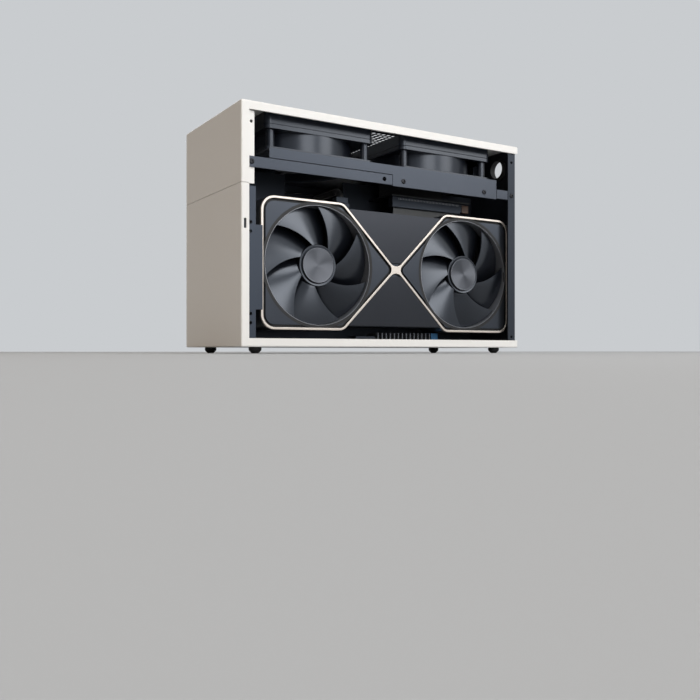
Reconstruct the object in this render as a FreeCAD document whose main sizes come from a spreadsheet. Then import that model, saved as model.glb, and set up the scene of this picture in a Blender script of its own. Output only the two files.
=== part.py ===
import FreeCAD, Part
import Sketcher
import math
import os
import re

# Small desktop computer: a folded two-part shell on four rubber feet, a back wall and a spine
# plate, two fans on a tray under the roof, a two-slot graphics card on the open side, and the
# main board, cooler and power unit behind the spine. X runs from the front to the back wall,
# Y from the open side to the closed side, Z up from the floor under the feet. Sizes in mm.

doc = FreeCAD.newDocument("computer_case")
sheet = doc.addObject("Spreadsheet::Sheet", "dims")
places = doc.addObject("App::VarSet", "places")

SIZES = {
    # shell
    "skin": 2, "rim": 8, "fold_radius": 1.5, "seam_gap": 0.4, "upper_front": 75,
    "foot_height": 6, "foot_radius": 6, "foot_flat": 3, "foot_inset_x": 21, "foot_inset_y": 16,
    "vent_length": 262, "vent_width": 94, "vent_border": 3, "vent_sheet": 1, "vent_hole": 15.5,
    "vent_pitch": 22, "floor_vent_length": 260, "floor_vent_width": 80,
    "side_vent_length": 240, "side_vent_height": 120,
    "panel_sheet": 1.5, "panel_gap": 0.5, "stud_radius": 1.1, "stud_length": 3.4, "stud_fit": 0.4,
    "stud_inset_x": 11.5, "stud_inset_z": 18, "port_slot_width": 2.4, "port_slot_height": 9,
    "port_slot_drop": 112, "port_depth": 9,
    # bars, tray and spine
    "bar_sheet": 1.5, "rail_height": 10, "rail_tongue": 16, "rear_tongue": 24, "tab_width": 6.5,
    "tray_lift": 8, "tray_sheet": 2, "tray_margin": 1, "tray_skirt": 7.5, "bar_gap": 0.5,
    "upright_width": 8, "spine_sheet": 1.5, "spine_foot": 9, "notch_length": 70, "notch_depth": 34,
    "notch_from_board": 8, "rest_height": 78, "rest_drop": 29.5, "rest_ear": 26, "screw_head": 2.6,
    "screw_head_height": 1, "screw_hole": 2.2, "hole_from_step": 10, "screw_from_step": 13.3,
    "screw_from_end": 17.8, "post_hole": 1.6, "post_hole_x": 2.8, "post_hole_low": 14,
    "post_hole_high": 35, "post_hole_pair": 8.5,
    # back wall
    "rear_sheet": 1.5, "rear_inset": 2, "column": 10, "fitting_drop": 21.4,
    "port_y": -44, "port_bore": 9.5, "port_wall": 1.6, "port_length": 7, "port_lip": 1.6,
    "button_y": 47, "button_barrel": 9.3, "button_flange": 12, "button_flange_height": 2,
    "button_depth": 13, "button_cap": 7.6, "button_travel": 1.6, "button_gap": 0.3,
    "inlet_width": 28, "inlet_height": 20.5, "inlet_lip": 2.5, "inlet_depth": 12, "inlet_wall": 2,
    "pin_half": 1, "pin_tall": 2, "pin_step": 7, "slot_count": 6, "slot_height": 3.5,
    "slot_length": 5, "slot_step": 7, "slot_drop": 40,
    # roof fans
    "fan_size": 120, "fan_thickness": 25, "fan_pitch": 154, "fan_side_gap": 11, "fan_round": 6,
    "fan_bore": 57.5, "fan_wall": 2, "fan_flange": 4, "fan_post_pitch": 105, "fan_post": 4,
    "fan_strut": 5, "fan_plate": 3, "fan_hub": 20, "fan_tip_gap": 1.2, "duct_height": 11.7,
    "roof_gap": 1.3, "fan_blades": 7, "run_gap": 0.3, "blade_sheet": 1.6,
    # graphics card
    "gpu_length": 304, "gpu_thickness": 40, "gpu_height": 125.5, "gpu_side_gap": 9,
    "gpu_spine_gap": 26, "gpu_floor_gap": 14.3, "gpu_rail_gap": 22.2, "gpu_front_room": 22,
    "gpu_rear_gap": 2.5, "gpu_corner": 14, "gpu_fan_margin": 4.2, "gpu_end_margin": 3.5,
    "gpu_diag_margin": 5.1, "gpu_trim": 2.4, "gpu_trim_depth": 3, "gpu_groove": 2.4,
    "gpu_bend": 12, "gpu_waist": 4.7, "gpu_plate": 6.5, "gpu_hub": 20.8, "gpu_cap": 17.5,
    "gpu_cap_height": 1.2,
    "gpu_rotor_depth": 15, "gpu_tip_gap": 1.5, "gpu_blades": 7, "gpu_fin_pitch": 5,
    "gpu_fin": 0.8, "gpu_motor": 16, "gpu_backplate": 2, "gpu_board_back": 11, "board_sheet": 1.6,
    "finger_start": 15, "finger_length": 85, "finger_depth": 6, "slot_rise": 7.2,
    "slot_body": 11, "slot_width": 8, "slot_end": 3, "latch_length": 11, "fit_gap": 0.25,
    "riser_front": 6, "ribbon_sheet": 1.4, "ribbon_back": 12, "ribbon_roof_gap": 1,
    "plug_inset": 12, "plug_height": 8, "plug_rise": 24, "outlet_count": 4, "outlet_low": 28,
    "outlet_step": 20, "outlet_tall": 16, "outlet_wide": 8, "outlet_back": 6,
    # main board side
    "board_size": 170, "board_rear_gap": 0.5, "board_floor_gap": 7, "board_tray_gap": 3,
    "standoff_height": 6.5, "standoff_radius": 3, "standoff_inset": 7, "io_length": 158,
    "io_width": 44, "io_depth": 28, "io_round": 3, "jack_count": 7, "jack_gap": 5, "jack_lift": 3,
    "jack_wide": 32, "jack_narrow": 15, "memory_height": 32, "memory_sheet": 6, "memory_inset": 12,
    "memory_pitch": 10, "memory_low": 10, "memory_gap": 7, "cooler_fan": 92, "cooler_round": 4,
    "cooler_fan_thickness": 15, "cooler_drop": 56, "cooler_gap": 2, "cooler_fin_pitch": 6,
    "cooler_fin": 1, "cooler_base": 44, "cooler_base_height": 14, "cooler_plate": 3,
    "cooler_wall": 2.5, "cooler_bar": 2, "cooler_hub": 16, "cooler_blades": 9,
    # power unit
    "psu_length": 125, "psu_height": 100, "psu_depth": 63.5, "psu_front_room": 15.5,
    "psu_board_gap": 17.5, "psu_floor_gap": 17, "psu_panel_gap": 0.5, "psu_fan_bore": 42,
    "psu_fan_depth": 18, "psu_hub": 15, "psu_blades": 7, "grille_wire": 1.6, "grille_step": 12,
    "cable_radius": 3.5, "cable_bend": 8, "cable_sides": 8, "lead_gap": 1,
    # storage module on the floor
    "drive_length": 82, "drive_width": 22, "drive_start": 163, "drive_y": 26, "drive_base": 2,
    "drive_fin": 1.4, "drive_fins": 16, "drive_gap": 1.2,
}
for row, alias in enumerate(SIZES, start=1):
    sheet.set("A%d" % row, alias)
    sheet.set("B%d" % row, str(SIZES[alias]))
    sheet.setAlias("B%d" % row, alias)
doc.recompute()

PLACES = {}


def expand(text):
    """Write sheet and place names out in full so that they can be bound."""
    def full(match):
        word = match.group(0)
        if word in SIZES:
            return "dims." + word
        if word in PLACES:
            return "places." + word
        return word
    return re.sub(r"[a-z_][a-z_0-9]*", full, str(text))


def place(name, text):
    """Keep one derived position that several pieces share."""
    places.addProperty("App::PropertyFloat", name, "Places", "")
    places.setExpression(name, expand(text))
    PLACES[name] = text
    places.recompute()


def value(text):
    return float(places.evalExpression(expand(text)))


def bind(thing, prop, text):
    thing.setExpression(prop, expand(text))


tail = "rear_sheet + rear_inset"
place("length", "max(skin + gpu_front_room + gpu_length + gpu_rear_gap + " + tail
      + "; skin + psu_front_room + psu_length + psu_board_gap + board_size + board_rear_gap + "
      + tail + "; fan_pitch + fan_size + 2 * (tray_margin + cable_radius + cable_bend"
      + " + 2 * lead_gap + inlet_depth + " + tail + "))")
place("width", "max(gpu_side_gap + gpu_thickness + gpu_spine_gap + spine_sheet + psu_depth"
      " + psu_panel_gap + panel_sheet; fan_size + 2 * fan_side_gap)")
place("front", "-length / 2")
place("rear", "length / 2")
place("near", "-width / 2")
place("far", "width / 2")
place("floor_top", "foot_height + skin")
place("tray_under", "floor_top"
      " + max(gpu_floor_gap + gpu_height + gpu_rail_gap + rail_height + tray_lift;"
      " board_floor_gap + board_size + board_tray_gap)")
place("tray_top", "tray_under + tray_sheet")
place("fan_top", "tray_top + fan_thickness")
place("roof_under", "fan_top + duct_height + roof_gap")
place("roof", "roof_under + skin")
place("front_in", "front + skin")
place("rear_face", "rear - rear_inset")
place("rear_in", "rear_face - rear_sheet")
place("bearing", "far - panel_sheet - panel_gap")
place("bar_in", "bearing - bar_sheet")
place("tongue_in", "bar_in - bar_sheet")
place("rim_low", "foot_height + rim")
place("rim_high", "roof - rim")
place("seam", "roof - upper_front")
place("rail_high", "tray_under - tray_lift")
place("rail_low", "rail_high - rail_height")
place("tray_end", "fan_pitch / 2 + fan_size / 2 + tray_margin")
place("tray_step", "-bar_gap / 2")
place("fitting_z", "roof - fitting_drop")
place("gpu_rear", "rear_in - gpu_rear_gap")
place("gpu_front", "gpu_rear - gpu_length")
place("gpu_x", "gpu_rear - gpu_length / 2")
place("gpu_face", "near + gpu_side_gap")
place("gpu_back", "gpu_face + gpu_thickness")
place("gpu_low", "floor_top + gpu_floor_gap")
place("gpu_high", "gpu_low + gpu_height")
place("gpu_z", "gpu_low + gpu_height / 2")
place("gpu_bore", "min(gpu_height / 2 - gpu_fan_margin;"
      " (gpu_length / 2 - gpu_end_margin - sqrt(2) * gpu_diag_margin) / (1 + sqrt(2)))")
place("gpu_offset", "gpu_length / 2 - gpu_end_margin - gpu_bore")
place("gpu_core", "gpu_back - gpu_backplate")
place("gpu_board_y", "gpu_back - gpu_board_back")
place("finger_x", "gpu_x + finger_start")
place("slot_low", "gpu_high + slot_rise")
place("slot_high", "slot_low + slot_body")
place("spine_y", "gpu_back + gpu_spine_gap")
place("spine_far", "spine_y + spine_sheet")
place("psu_x", "front_in + psu_front_room")
place("psu_z", "floor_top + psu_floor_gap")
place("psu_face", "spine_far + psu_depth")
place("board_x", "rear_in - board_rear_gap - board_size")
place("board_z", "floor_top + board_floor_gap")
place("board_y", "spine_far + standoff_height")
place("board_face", "board_y + board_sheet")
place("plug_z", "board_z + board_size - plug_inset - plug_height")
place("memory_end", "board_x + memory_inset + memory_pitch + memory_sheet")
place("cool_x", "(memory_end + rear_in - io_depth) / 2")
place("cool_z", "plug_z - cooler_drop")
place("cool_fan_y", "psu_face - cooler_fan_thickness - cooler_gap")

AXES = {
    "x": FreeCAD.Rotation(FreeCAD.Vector(0, 1, 0), 90),
    "y": FreeCAD.Rotation(FreeCAD.Vector(1, 0, 0), -90),
    "-y": FreeCAD.Rotation(FreeCAD.Vector(1, 0, 0), 90),
    "z": FreeCAD.Rotation(),
}
nodes = []


def move(thing, base, axis="z"):
    thing.Placement = FreeCAD.Placement(FreeCAD.Vector(), AXES[axis])
    for letter, text in zip("xyz", base):
        bind(thing, "Placement.Base." + letter, text)
    return thing


def block(x, y, z):
    """Box between two bound positions on each axis."""
    solid = doc.addObject("Part::Box", "block")
    for prop, pair in zip(("Length", "Width", "Height"), (x, y, z)):
        bind(solid, prop, "(%s) - (%s)" % (pair[1], pair[0]))
    return move(solid, (x[0], y[0], z[0]))


def rod(axis, base, radius, length):
    """Cylinder from a bound base point along an axis."""
    solid = doc.addObject("Part::Cylinder", "rod")
    bind(solid, "Radius", radius)
    bind(solid, "Height", length)
    return move(solid, base, axis)


def group(pieces):
    bunch = doc.addObject("Part::Compound", "bunch")
    bunch.Links = pieces
    return bunch


def join(*pieces):
    union = doc.addObject("Part::MultiFuse", "union")
    union.Shapes = list(pieces)
    union.Refine = True
    return union


def cut(base, *tools):
    result = doc.addObject("Part::Cut", "cut")
    result.Base = base
    result.Tool = tools[0] if len(tools) == 1 else group(list(tools))
    result.Refine = True
    return result


def common(base, tool):
    result = doc.addObject("Part::Common", "common")
    result.Base = base
    result.Tool = tool
    return result


def edges_at(shape, test):
    """Numbers of the straight edges whose middle point and direction pass a test."""
    found = []
    for number, edge in enumerate(shape.Edges, start=1):
        if edge.Curve.TypeId == "Part::GeomLine":
            middle = edge.valueAt((edge.FirstParameter + edge.LastParameter) / 2)
            if test(middle, edge.Curve.Direction):
                found.append(number)
    return found


def rounded(base, radius, test):
    """Round the chosen straight edges of a solid."""
    base.recompute(True)
    result = doc.addObject("Part::Fillet", "rounded")
    result.Base = base
    size = value(radius)
    result.Edges = [(number, size, size) for number in edges_at(base.Shape, test)]
    return result


def upright_edge(middle, way):
    return abs(way.z) > 0.9


def node(label, thing):
    thing.Label = label
    nodes.append(thing)
    return thing


def sketch_on(body, role, lift="0", tilt=0):
    drawing = body.newObject("Sketcher::SketchObject", "sketch")
    plane = [part for part in body.Origin.OriginFeatures if part.Role == role][0]
    drawing.AttachmentSupport = [(plane, "")]
    drawing.MapMode = "FlatFace"
    turn = FreeCAD.Rotation(FreeCAD.Vector(1, 0, 0), tilt)
    drawing.AttachmentOffset = FreeCAD.Placement(FreeCAD.Vector(), turn)
    bind(drawing, "AttachmentOffset.Base.z", lift)
    return drawing


def outline(drawing, points):
    """Closed outline through bound points; a third and fourth entry make the next side an arc."""
    start = drawing.GeometryCount
    spots = [(value(point[0]), value(point[1])) for point in points]
    ends = []
    for index, point in enumerate(points):
        a = FreeCAD.Vector(*spots[index], 0)
        b = FreeCAD.Vector(*spots[(index + 1) % len(spots)], 0)
        if len(point) == 2:
            drawing.addGeometry(Part.LineSegment(a, b), False)
            ends.append((1, 2))
            continue
        radius = value(point[2])
        half = (b - a).Length / 2
        rise = radius - math.sqrt(radius * radius - half * half)
        side = FreeCAD.Vector(-(b - a).y, (b - a).x, 0).normalize()
        arc = Part.ArcOfCircle(a, (a + b) / 2 + side * rise * point[3], b)
        number = drawing.addGeometry(arc, False)
        ends.append((1, 2) if (drawing.getPoint(number, 1) - a).Length < 1e-6 else (2, 1))
    count = len(points)
    for index, point in enumerate(points):
        after = (index + 1) % count
        here = start + index
        drawing.addConstraint(
            Sketcher.Constraint("Coincident", here, ends[index][1], start + after, ends[after][0]))
        for kind, text, spot in zip(("DistanceX", "DistanceY"), point, spots[index]):
            number = drawing.addConstraint(
                Sketcher.Constraint(kind, -1, 1, here, ends[index][0], spot))
            bind(drawing, "Constraints[%d]" % number, text)
        if len(point) > 2:
            number = drawing.addConstraint(Sketcher.Constraint("Radius", here, value(point[2])))
            bind(drawing, "Constraints[%d]" % number, point[2])
    return drawing


def ring(drawing, x, y, radius):
    """Circle at a bound centre."""
    centre = FreeCAD.Vector(value(x), value(y), 0)
    circle = Part.Circle(centre, FreeCAD.Vector(0, 0, 1), value(radius))
    number = drawing.addGeometry(circle, False)
    for kind, text in (("DistanceX", x), ("DistanceY", y)):
        spot = drawing.addConstraint(Sketcher.Constraint(kind, -1, 1, number, 3, value(text)))
        bind(drawing, "Constraints[%d]" % spot, text)
    size = drawing.addConstraint(Sketcher.Constraint("Radius", number, value(radius)))
    bind(drawing, "Constraints[%d]" % size, radius)
    return drawing


def feature(body, kind, drawing, **sizes):
    """Pad, Pocket or Revolution of a sketch, its sizes bound."""
    step = body.newObject("PartDesign::" + kind, kind.lower())
    step.Profile = drawing
    if kind in ("Revolution", "Groove"):
        step.ReferenceAxis = (drawing, ["V_Axis"])
        step.Angle = 360
    for prop, text in sizes.items():
        if isinstance(text, bool):
            setattr(step, prop, text)
        else:
            bind(step, prop, text)
    body.Tip = step
    step.recompute(True)
    return step


def new_body():
    return doc.addObject("PartDesign::Body", "body")


def soften(body, radius, test):
    """Fillet on the chosen straight edges of the body so far."""
    before = body.Tip
    chosen = edges_at(before.Shape, test)
    step = body.newObject("PartDesign::Fillet", "fillet")
    step.Base = (before, ["Edge%d" % number for number in chosen])
    bind(step, "Radius", radius)
    body.Tip = step
    step.recompute(True)
    return step


def turned(label, profile, base, axis):
    """Piece of revolution about a bound axis line."""
    body = new_body()
    feature(body, "Revolution", outline(sketch_on(body, "XZ_Plane"), profile))
    return node(label, move(body, base, axis))


def rotor(label, base, axis, hub, depth, tip, blades, tilt, sweep, level=0.5, bow=1, fill=0.78):
    """Fan wheel: a turned hub with tilted sickle blades around it, bowed forwards or backwards."""
    body = new_body()
    hub_line = [("0", "0"), (hub, "0"), (hub, depth + " - 1"), (hub + " - 1", depth), ("0", depth)]
    feature(body, "Revolution", outline(sketch_on(body, "XZ_Plane"), hub_line))
    drawing = sketch_on(body, "XY_Plane", "%s * %s" % (depth, level), tilt)
    share = "3.1416 * (%s) / %s" % (tip, blades)
    root = "(%s) - 2" % hub
    half_root = "3.1416 * (%s) / %s * %s" % (hub, blades, fill - 0.06)
    half_tip = "%s * %s" % (share, fill)
    back = "(%s) * %s" % (tip, sweep)
    reach = "sqrt((%s)^2 - (%s)^2)"
    lead = "(%s) + %s" % (back, half_tip)
    trail = "(%s) - %s" % (back, half_tip)
    edge = "(%s) * 0.95" % tip
    outline(drawing, [
        (root, "-(%s)" % half_root, edge, bow),
        (reach % (tip, trail), trail, "(%s) * 1.04" % tip, -1),
        (reach % (tip, lead), lead, edge, -bow),
        (root, half_root)])
    pad = feature(body, "Pad", drawing, Length="blade_sheet", Midplane=True)
    pattern = body.newObject("PartDesign::PolarPattern", "blades")
    pattern.Originals = [pad]
    turn_axis = [part for part in body.Origin.OriginFeatures if part.Role == "Z_Axis"][0]
    pattern.Axis = (turn_axis, [""])
    pattern.Angle = 360
    bind(pattern, "Occurrences", blades)
    body.Tip = pattern
    return node(label, move(body, base, axis))


def lattice(length, width, middle, axis, depth):
    """Staggered field of diamond holes as one cutting tool."""
    pitch = value("vent_pitch")
    hole = value("vent_hole") / math.sqrt(2)
    columns = int(value(length) // pitch)
    rows = int(value(width) // pitch)
    tools = []
    for row in range(2 * rows - 1):
        count = columns - row % 2
        for column in range(count):
            across = (column - (count - 1) / 2) * pitch
            up = (row - (rows - 1)) * pitch / 2
            tool = Part.makeBox(hole, hole, 4 * depth)
            tool.Placement.Base = FreeCAD.Vector(-hole / 2, -hole / 2, -2 * depth)
            tool.rotate(FreeCAD.Vector(), FreeCAD.Vector(0, 0, 1), 45)
            tool.translate(FreeCAD.Vector(across, up, 0))
            tools.append(tool)
    field = doc.addObject("Part::Feature", "lattice")
    field.Shape = Part.makeCompound(tools)
    return move(field, middle, axis)


def wide(a):
    """A span that passes clear through the thing on both sides."""
    return ("%s - 20" % a[0], "%s + 20" % a[1])


WHOLE_X = ("front", "rear")
WHOLE_Y = ("near", "far")

# Upper shell: roof and upper front folded from one sheet, with a rim round both open sides and a
# joggled tab behind each upper front rim that carries the front rails.
vent_x = ("-vent_length / 2", "vent_length / 2")
vent_y = ("-vent_width / 2", "vent_width / 2")
shell = block(WHOLE_X, WHOLE_Y, ("seam + seam_gap / 2", "roof"))
shell = rounded(shell, "fold_radius", lambda p, d: p.z > value("seam") + 1
                and (abs(d.z) < 0.1 or p.x < 0) and not (abs(d.y) > 0.9 and p.x > 0))
clear_y = ("near + skin", "far - skin")
hollow = block(("front_in", "rear + 20"), clear_y, ("seam - 20", "roof_under"))
window = block(("front + rim", "rear + 20"), wide(WHOLE_Y), ("seam - 20", "rim_high"))
upper = cut(shell, hollow, window, block(vent_x, vent_y, ("roof_under - 5", "roof + 5")))
tab_pieces = [upper]
for span in (lambda a, b: ("-(%s)" % b, "-(%s)" % a), lambda a, b: (a, b)):
    tab_z = ("seam + seam_gap / 2", "rim_high - bar_gap")
    tab_x = ("front + rim", "front + rim + tab_width")
    tab_pieces.append(block(("front + rim - skin", "front + rim"), span("tongue_in", "far - skin"), tab_z))
    tab_pieces.append(block(tab_x, span("tongue_in", "bar_in"), tab_z))
tab_holes = rod("y", ("front + stud_inset_x", "near - 5", "roof - stud_inset_z"),
                "stud_radius + stud_fit", "width + 10")
node("top_cover", cut(join(*tab_pieces), tab_holes))

# Lower shell: floor and lower front folded from one sheet; a small port slot in the open
# side's rim.
shell = block(WHOLE_X, WHOLE_Y, ("foot_height", "seam - seam_gap / 2"))
shell = rounded(shell, "fold_radius", lambda p, d: p.z < value("seam") - 1
                and (abs(d.z) < 0.1 or p.x < 0) and not (abs(d.y) > 0.9 and p.x > 0))
hollow = block(("front_in", "rear + 20"), clear_y, ("floor_top", "seam + 20"))
window = block(("front + rim", "rear + 20"), wide(WHOLE_Y), ("rim_low", "seam + 20"))
floor_vent_x = ("-floor_vent_length / 2", "floor_vent_length / 2")
floor_vent_y = ("-floor_vent_width / 2", "floor_vent_width / 2")
port_x = "front + rim / 2"
port_z = "roof - port_slot_drop"
slot = block((port_x + " - port_slot_width / 2", port_x + " + port_slot_width / 2"),
             ("near - 5", "near + skin + 0.1"),
             (port_z + " - port_slot_height / 2", port_z + " + port_slot_height / 2"))
node("base_cover", cut(shell, hollow, window, slot,
                       block(floor_vent_x, floor_vent_y, ("foot_height - 5", "floor_top + 5"))))

# Vent sheets: thin perforated sheets under the roof opening, over the floor opening and inside
# the closed side's panel.
grow = lambda pair: (pair[0] + " - vent_border", pair[1] + " + vent_border")
blank = block(grow(vent_x), grow(vent_y), ("roof_under - vent_sheet", "roof_under"))
field = lattice("vent_length", "vent_width", ("0", "0", "roof_under"), "z", 10)
node("roof_vent", cut(blank, field))
blank = block(grow(floor_vent_x), grow(floor_vent_y), ("floor_top", "floor_top + vent_sheet"))
field = lattice("floor_vent_length", "floor_vent_width", ("0", "0", "floor_top"), "z", 10)
node("floor_vent", cut(blank, field))

# Rubber feet: four tapered pads with a small flat, glued under the floor near its corners.
feet = []
for sign_x in ("-", ""):
    for sign_y in ("-", ""):
        body = new_body()
        profile = [("0", "0"), ("foot_flat", "0"), ("foot_radius", "foot_height / 2"),
                   ("foot_radius", "foot_height"), ("0", "foot_height")]
        feature(body, "Revolution", outline(sketch_on(body, "XZ_Plane"), profile))
        feet.append(move(body, (sign_x + "(rear - foot_inset_x)", sign_y + "(far - foot_inset_y)", "0")))
node("rubber_feet", group(feet))

# Small connector behind the slot in the open side's rim, held on the lower front.
port_span = (port_z + " - port_slot_height", port_z + " + port_slot_height")
port_deep = ("near + skin", "near + skin + port_depth")
node("side_port", block(("front_in", "front + rim - seam_gap"), port_deep, port_span))

# Back wall: a sheet with a folded column on each side, opened for the board's connectors, the
# card's bracket, the mains inlet, the power button and a round cable port.
broad = ("-bearing", "bearing")
inside = ("rear_face - column - 5", "rear_in")
wall = block(("rear_face - column", "rear_face"), broad, ("floor_top", "roof_under"))
hollow = block(inside, ("-bar_in", "bar_in"), ("floor_top - 5", "roof_under + 5"))
relief_low = block(inside, wide(broad), ("floor_top - 5", "rim_low + bar_gap"))
relief_high = block(inside, wide(broad), ("rim_high - bar_gap", "roof_under + 5"))
io_z = ("board_z + (board_size - io_length) / 2", "board_z + (board_size + io_length) / 2")
io_y = ("board_face - 2", "board_face - 2 + io_width")
through = ("rear_in - 5", "rear + 5")
card_y = ("gpu_face + 4", "gpu_back - 3")
card_z = ("gpu_low + 20", "gpu_high - 14")
openings = [
    block(through, io_y, io_z),
    block(through, card_y, card_z),
    block(through, ("-inlet_width / 2", "inlet_width / 2"),
          ("fitting_z - inlet_height / 2", "fitting_z + inlet_height / 2")),
    rod("x", ("rear_in - 5", "port_y", "fitting_z"), "port_bore + port_wall", "20"),
    rod("x", ("rear_in - 5", "button_y", "fitting_z"), "button_barrel + 0.2", "20"),
]
stud_heights = ["roof / 2 %+d * (roof / 2 - stud_inset_z)" % side for side in (-1, 1)]
for stud_z in stud_heights:
    openings.append(rod("y", ("rear_face - column / 2", "-bearing - 5", stud_z),
                        "stud_radius + stud_fit", "2 * bearing + 10"))
for index in range(int(value("slot_count"))):
    start = "(%d - slot_count / 2) * slot_step" % index
    openings.append(block(through, (start, start + " + slot_length"),
                          ("roof - slot_drop - slot_height", "roof - slot_drop")))
node("rear_panel", cut(wall, hollow, relief_low, relief_high, *openings))

# Cable port: a soft bushing clipped in the round hole, flanged on both faces of the wall.
sleeve = "port_bore + port_wall"
flange = "port_bore + port_wall + port_lip"
node("port_bushing", cut(join(
    rod("x", ("rear_face + port_lip - port_length", "port_y", "fitting_z"), sleeve, "port_length"),
    rod("x", ("rear_face", "port_y", "fitting_z"), flange, "port_lip"),
    rod("x", ("rear_in - port_lip", "port_y", "fitting_z"), flange, "port_lip")),
    rod("x", ("rear_in - 20", "port_y", "fitting_z"), "port_bore", "60")))

# Power button: a metal barrel with a flange outside; its round cap is pressed inwards against a
# spring.
place("cap_back", "rear_face + button_flange_height - 1 - 2 * button_travel")
barrel = join(
    rod("x", ("rear_in - button_depth", "button_y", "fitting_z"),
        "button_barrel", "button_depth + rear_sheet"),
    rod("x", ("rear_face", "button_y", "fitting_z"), "button_flange", "button_flange_height - 0.2"))
node("button_barrel", cut(barrel, rod("x", ("cap_back - button_travel", "button_y", "fitting_z"),
                                      "button_cap + button_gap", "30")))
node("button_cap", rod("x", ("cap_back", "button_y", "fitting_z"), "button_cap",
                       "rear_face + button_flange_height - 0.2 - cap_back"))

# Mains inlet: a moulded socket with a lip outside, open to the back, and three blades in its floor.
half_w = "inlet_width / 2"
half_h = "inlet_height / 2"


def about(middle, half):
    """Span of a half size to both sides of a middle."""
    return ("%s - (%s)" % (middle, half), "%s + (%s)" % (middle, half))


place("inlet_floor", "rear_in - inlet_depth + inlet_wall")
tub = join(
    block(("rear_in - inlet_depth", "rear_face"), about("0", half_w + " - fit_gap"),
          about("fitting_z", half_h + " - fit_gap")),
    block(("rear_face", "rear_face + inlet_wall - 0.2"), about("0", half_w + " + inlet_lip"),
          about("fitting_z", half_h + " + inlet_lip")))
mouth = block(("inlet_floor", "rear + 5"), about("0", half_w + " - inlet_wall"),
              about("fitting_z", half_h + " - inlet_wall"))
blades = []
for side in (-1, 0, 1):
    lift = "fitting_z %s pin_tall" % ("-" if side else "+")
    blades.append(block(("inlet_floor", "rear_in - inlet_wall"), about("%d * pin_step" % side, "pin_half"),
                        about(lift, "pin_tall")))
node("power_inlet", join(cut(tub, mouth), *blades))

# Spine: the upright sheet between card and board, folded along the floor, notched for the cables.
place("notch_x", "board_x - notch_from_board")
spine_x = ("psu_x", "rear_in")
sole = "floor_top + vent_sheet"
plate = join(
    block(spine_x, ("spine_y", "spine_far"), (sole, "tray_under - tray_lift / 2")),
    block(("10 - floor_vent_length / 2", "floor_vent_length / 2 - 10"), ("spine_y - spine_foot", "spine_y"),
          (sole, sole + " + spine_sheet")))
notch = block(("notch_x - notch_length", "notch_x"), ("spine_y - 5", "spine_far + 5"),
              ("tray_under - notch_depth", "tray_under"))
node("spine_plate", cut(plate, notch))

# Rails and tray: each side has a front and a back rail; the fan tray hangs its folded skirts
# between them, tall at the back half and short over the front rail.
for side, sign in (("open", -1), ("board", 1)):
    span = (lambda a, b: (a, b)) if sign > 0 else (lambda a, b: ("-(%s)" % b, "-(%s)" % a))
    rail_z = ("rail_low", "rail_high")
    rail = join(
        block(("front + rim + bar_gap", "tray_step - bar_gap / 2"), span("bar_in", "bearing"), rail_z),
        block(("tray_step - rail_tongue", "tray_step + rail_tongue"), span("tongue_in", "bar_in"), rail_z))
    node("front_rail_" + side, cut(rail, rod(
        "y", ("tray_step - hole_from_step", "-bearing - 5", "(rail_low + rail_high) / 2"),
        "screw_hole", "2 * bearing + 10")))
    node("rear_rail_" + side, join(
        block(("tray_end + bar_gap", "rear_face - column - bar_gap"), span("bar_in", "bearing"), rail_z),
        block(("tray_end - rear_tongue", "rear_in"), span("tongue_in", "bar_in"), rail_z)))
    post_z = ("rim_low - 2", "seam - 2")
    post = join(
        block(("front_in", "front + rim + upright_width"), span("tongue_in", "bar_in"), post_z),
        block(("front_in", "front_in + bar_sheet"), span("tongue_in - column", "tongue_in"), post_z))
    if side == "open":
        free_z = (port_span[0] + " - fit_gap", port_span[1] + " + fit_gap")
        free_y = ("near", port_deep[1] + " + fit_gap")
        post = cut(post, block(("front_in - 5", "front + rim"), free_y, free_z))
    holes = []
    for level in ("rim_low + post_hole_low", "seam - post_hole_high - post_hole_pair"):
        for hole_z in (level, level + " + post_hole_pair"):
            spot = ("front + rim + post_hole_x", "-bearing", hole_z)
            holes.append(rod("y", spot, "post_hole", "2 * bearing"))
    node("front_post_" + side, cut(post, *holes))
tray_x = ("-tray_end", "tray_end")
tray_parts = [block(tray_x, ("-bearing", "bearing"), ("tray_under", "tray_top"))]
for span in (("-bearing", "-bar_in"), ("bar_in", "bearing")):
    tray_parts.append(block(("tray_step", "tray_end"), span, ("rail_low - 1", "tray_under")))
    tray_parts.append(block(("-tray_end", "tray_step"), span, ("tray_under - tray_skirt", "tray_under")))
tray_holes = []
for sign in ("-", ""):
    tray_holes.append(rod("z", (sign + "fan_pitch / 2", "0", "tray_under - 5"), "fan_bore - 1", "20"))
node("fan_tray", cut(join(*tray_parts), *tray_holes))

# Rail screws: low round heads on the rails' outer faces.
spots = ("front + rim + tab_width / 2", "tray_step + screw_from_step", "tray_end - screw_from_end",
         "rear_face - column / 2")
heads = []
for spot in spots:
    heads.append(rod("y", (spot, "-bearing - screw_head_height", "(rail_low + rail_high) / 2"),
                     "screw_head", "screw_head_height"))
node("rail_screws", group(heads))

# Card rest: a bent strip on the open side's front post that steadies the card's front end.
rest_y = ("-tongue_in", "-tongue_in + bar_sheet")
place("rest_top", "gpu_high - rest_drop")
place("rest_x", "front + rim + upright_width")
ears = []
for low in ("rest_top - rest_height", "rest_top - rest_ear"):
    ears.append(block(("rest_x - bar_sheet * 3", "rest_x"), rest_y, (low, low + " + rest_ear")))
strip = block(("rest_x", "gpu_front - fit_gap"), rest_y, ("rest_top - rest_height", "rest_top"))
node("card_rest", join(strip, *ears))

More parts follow.
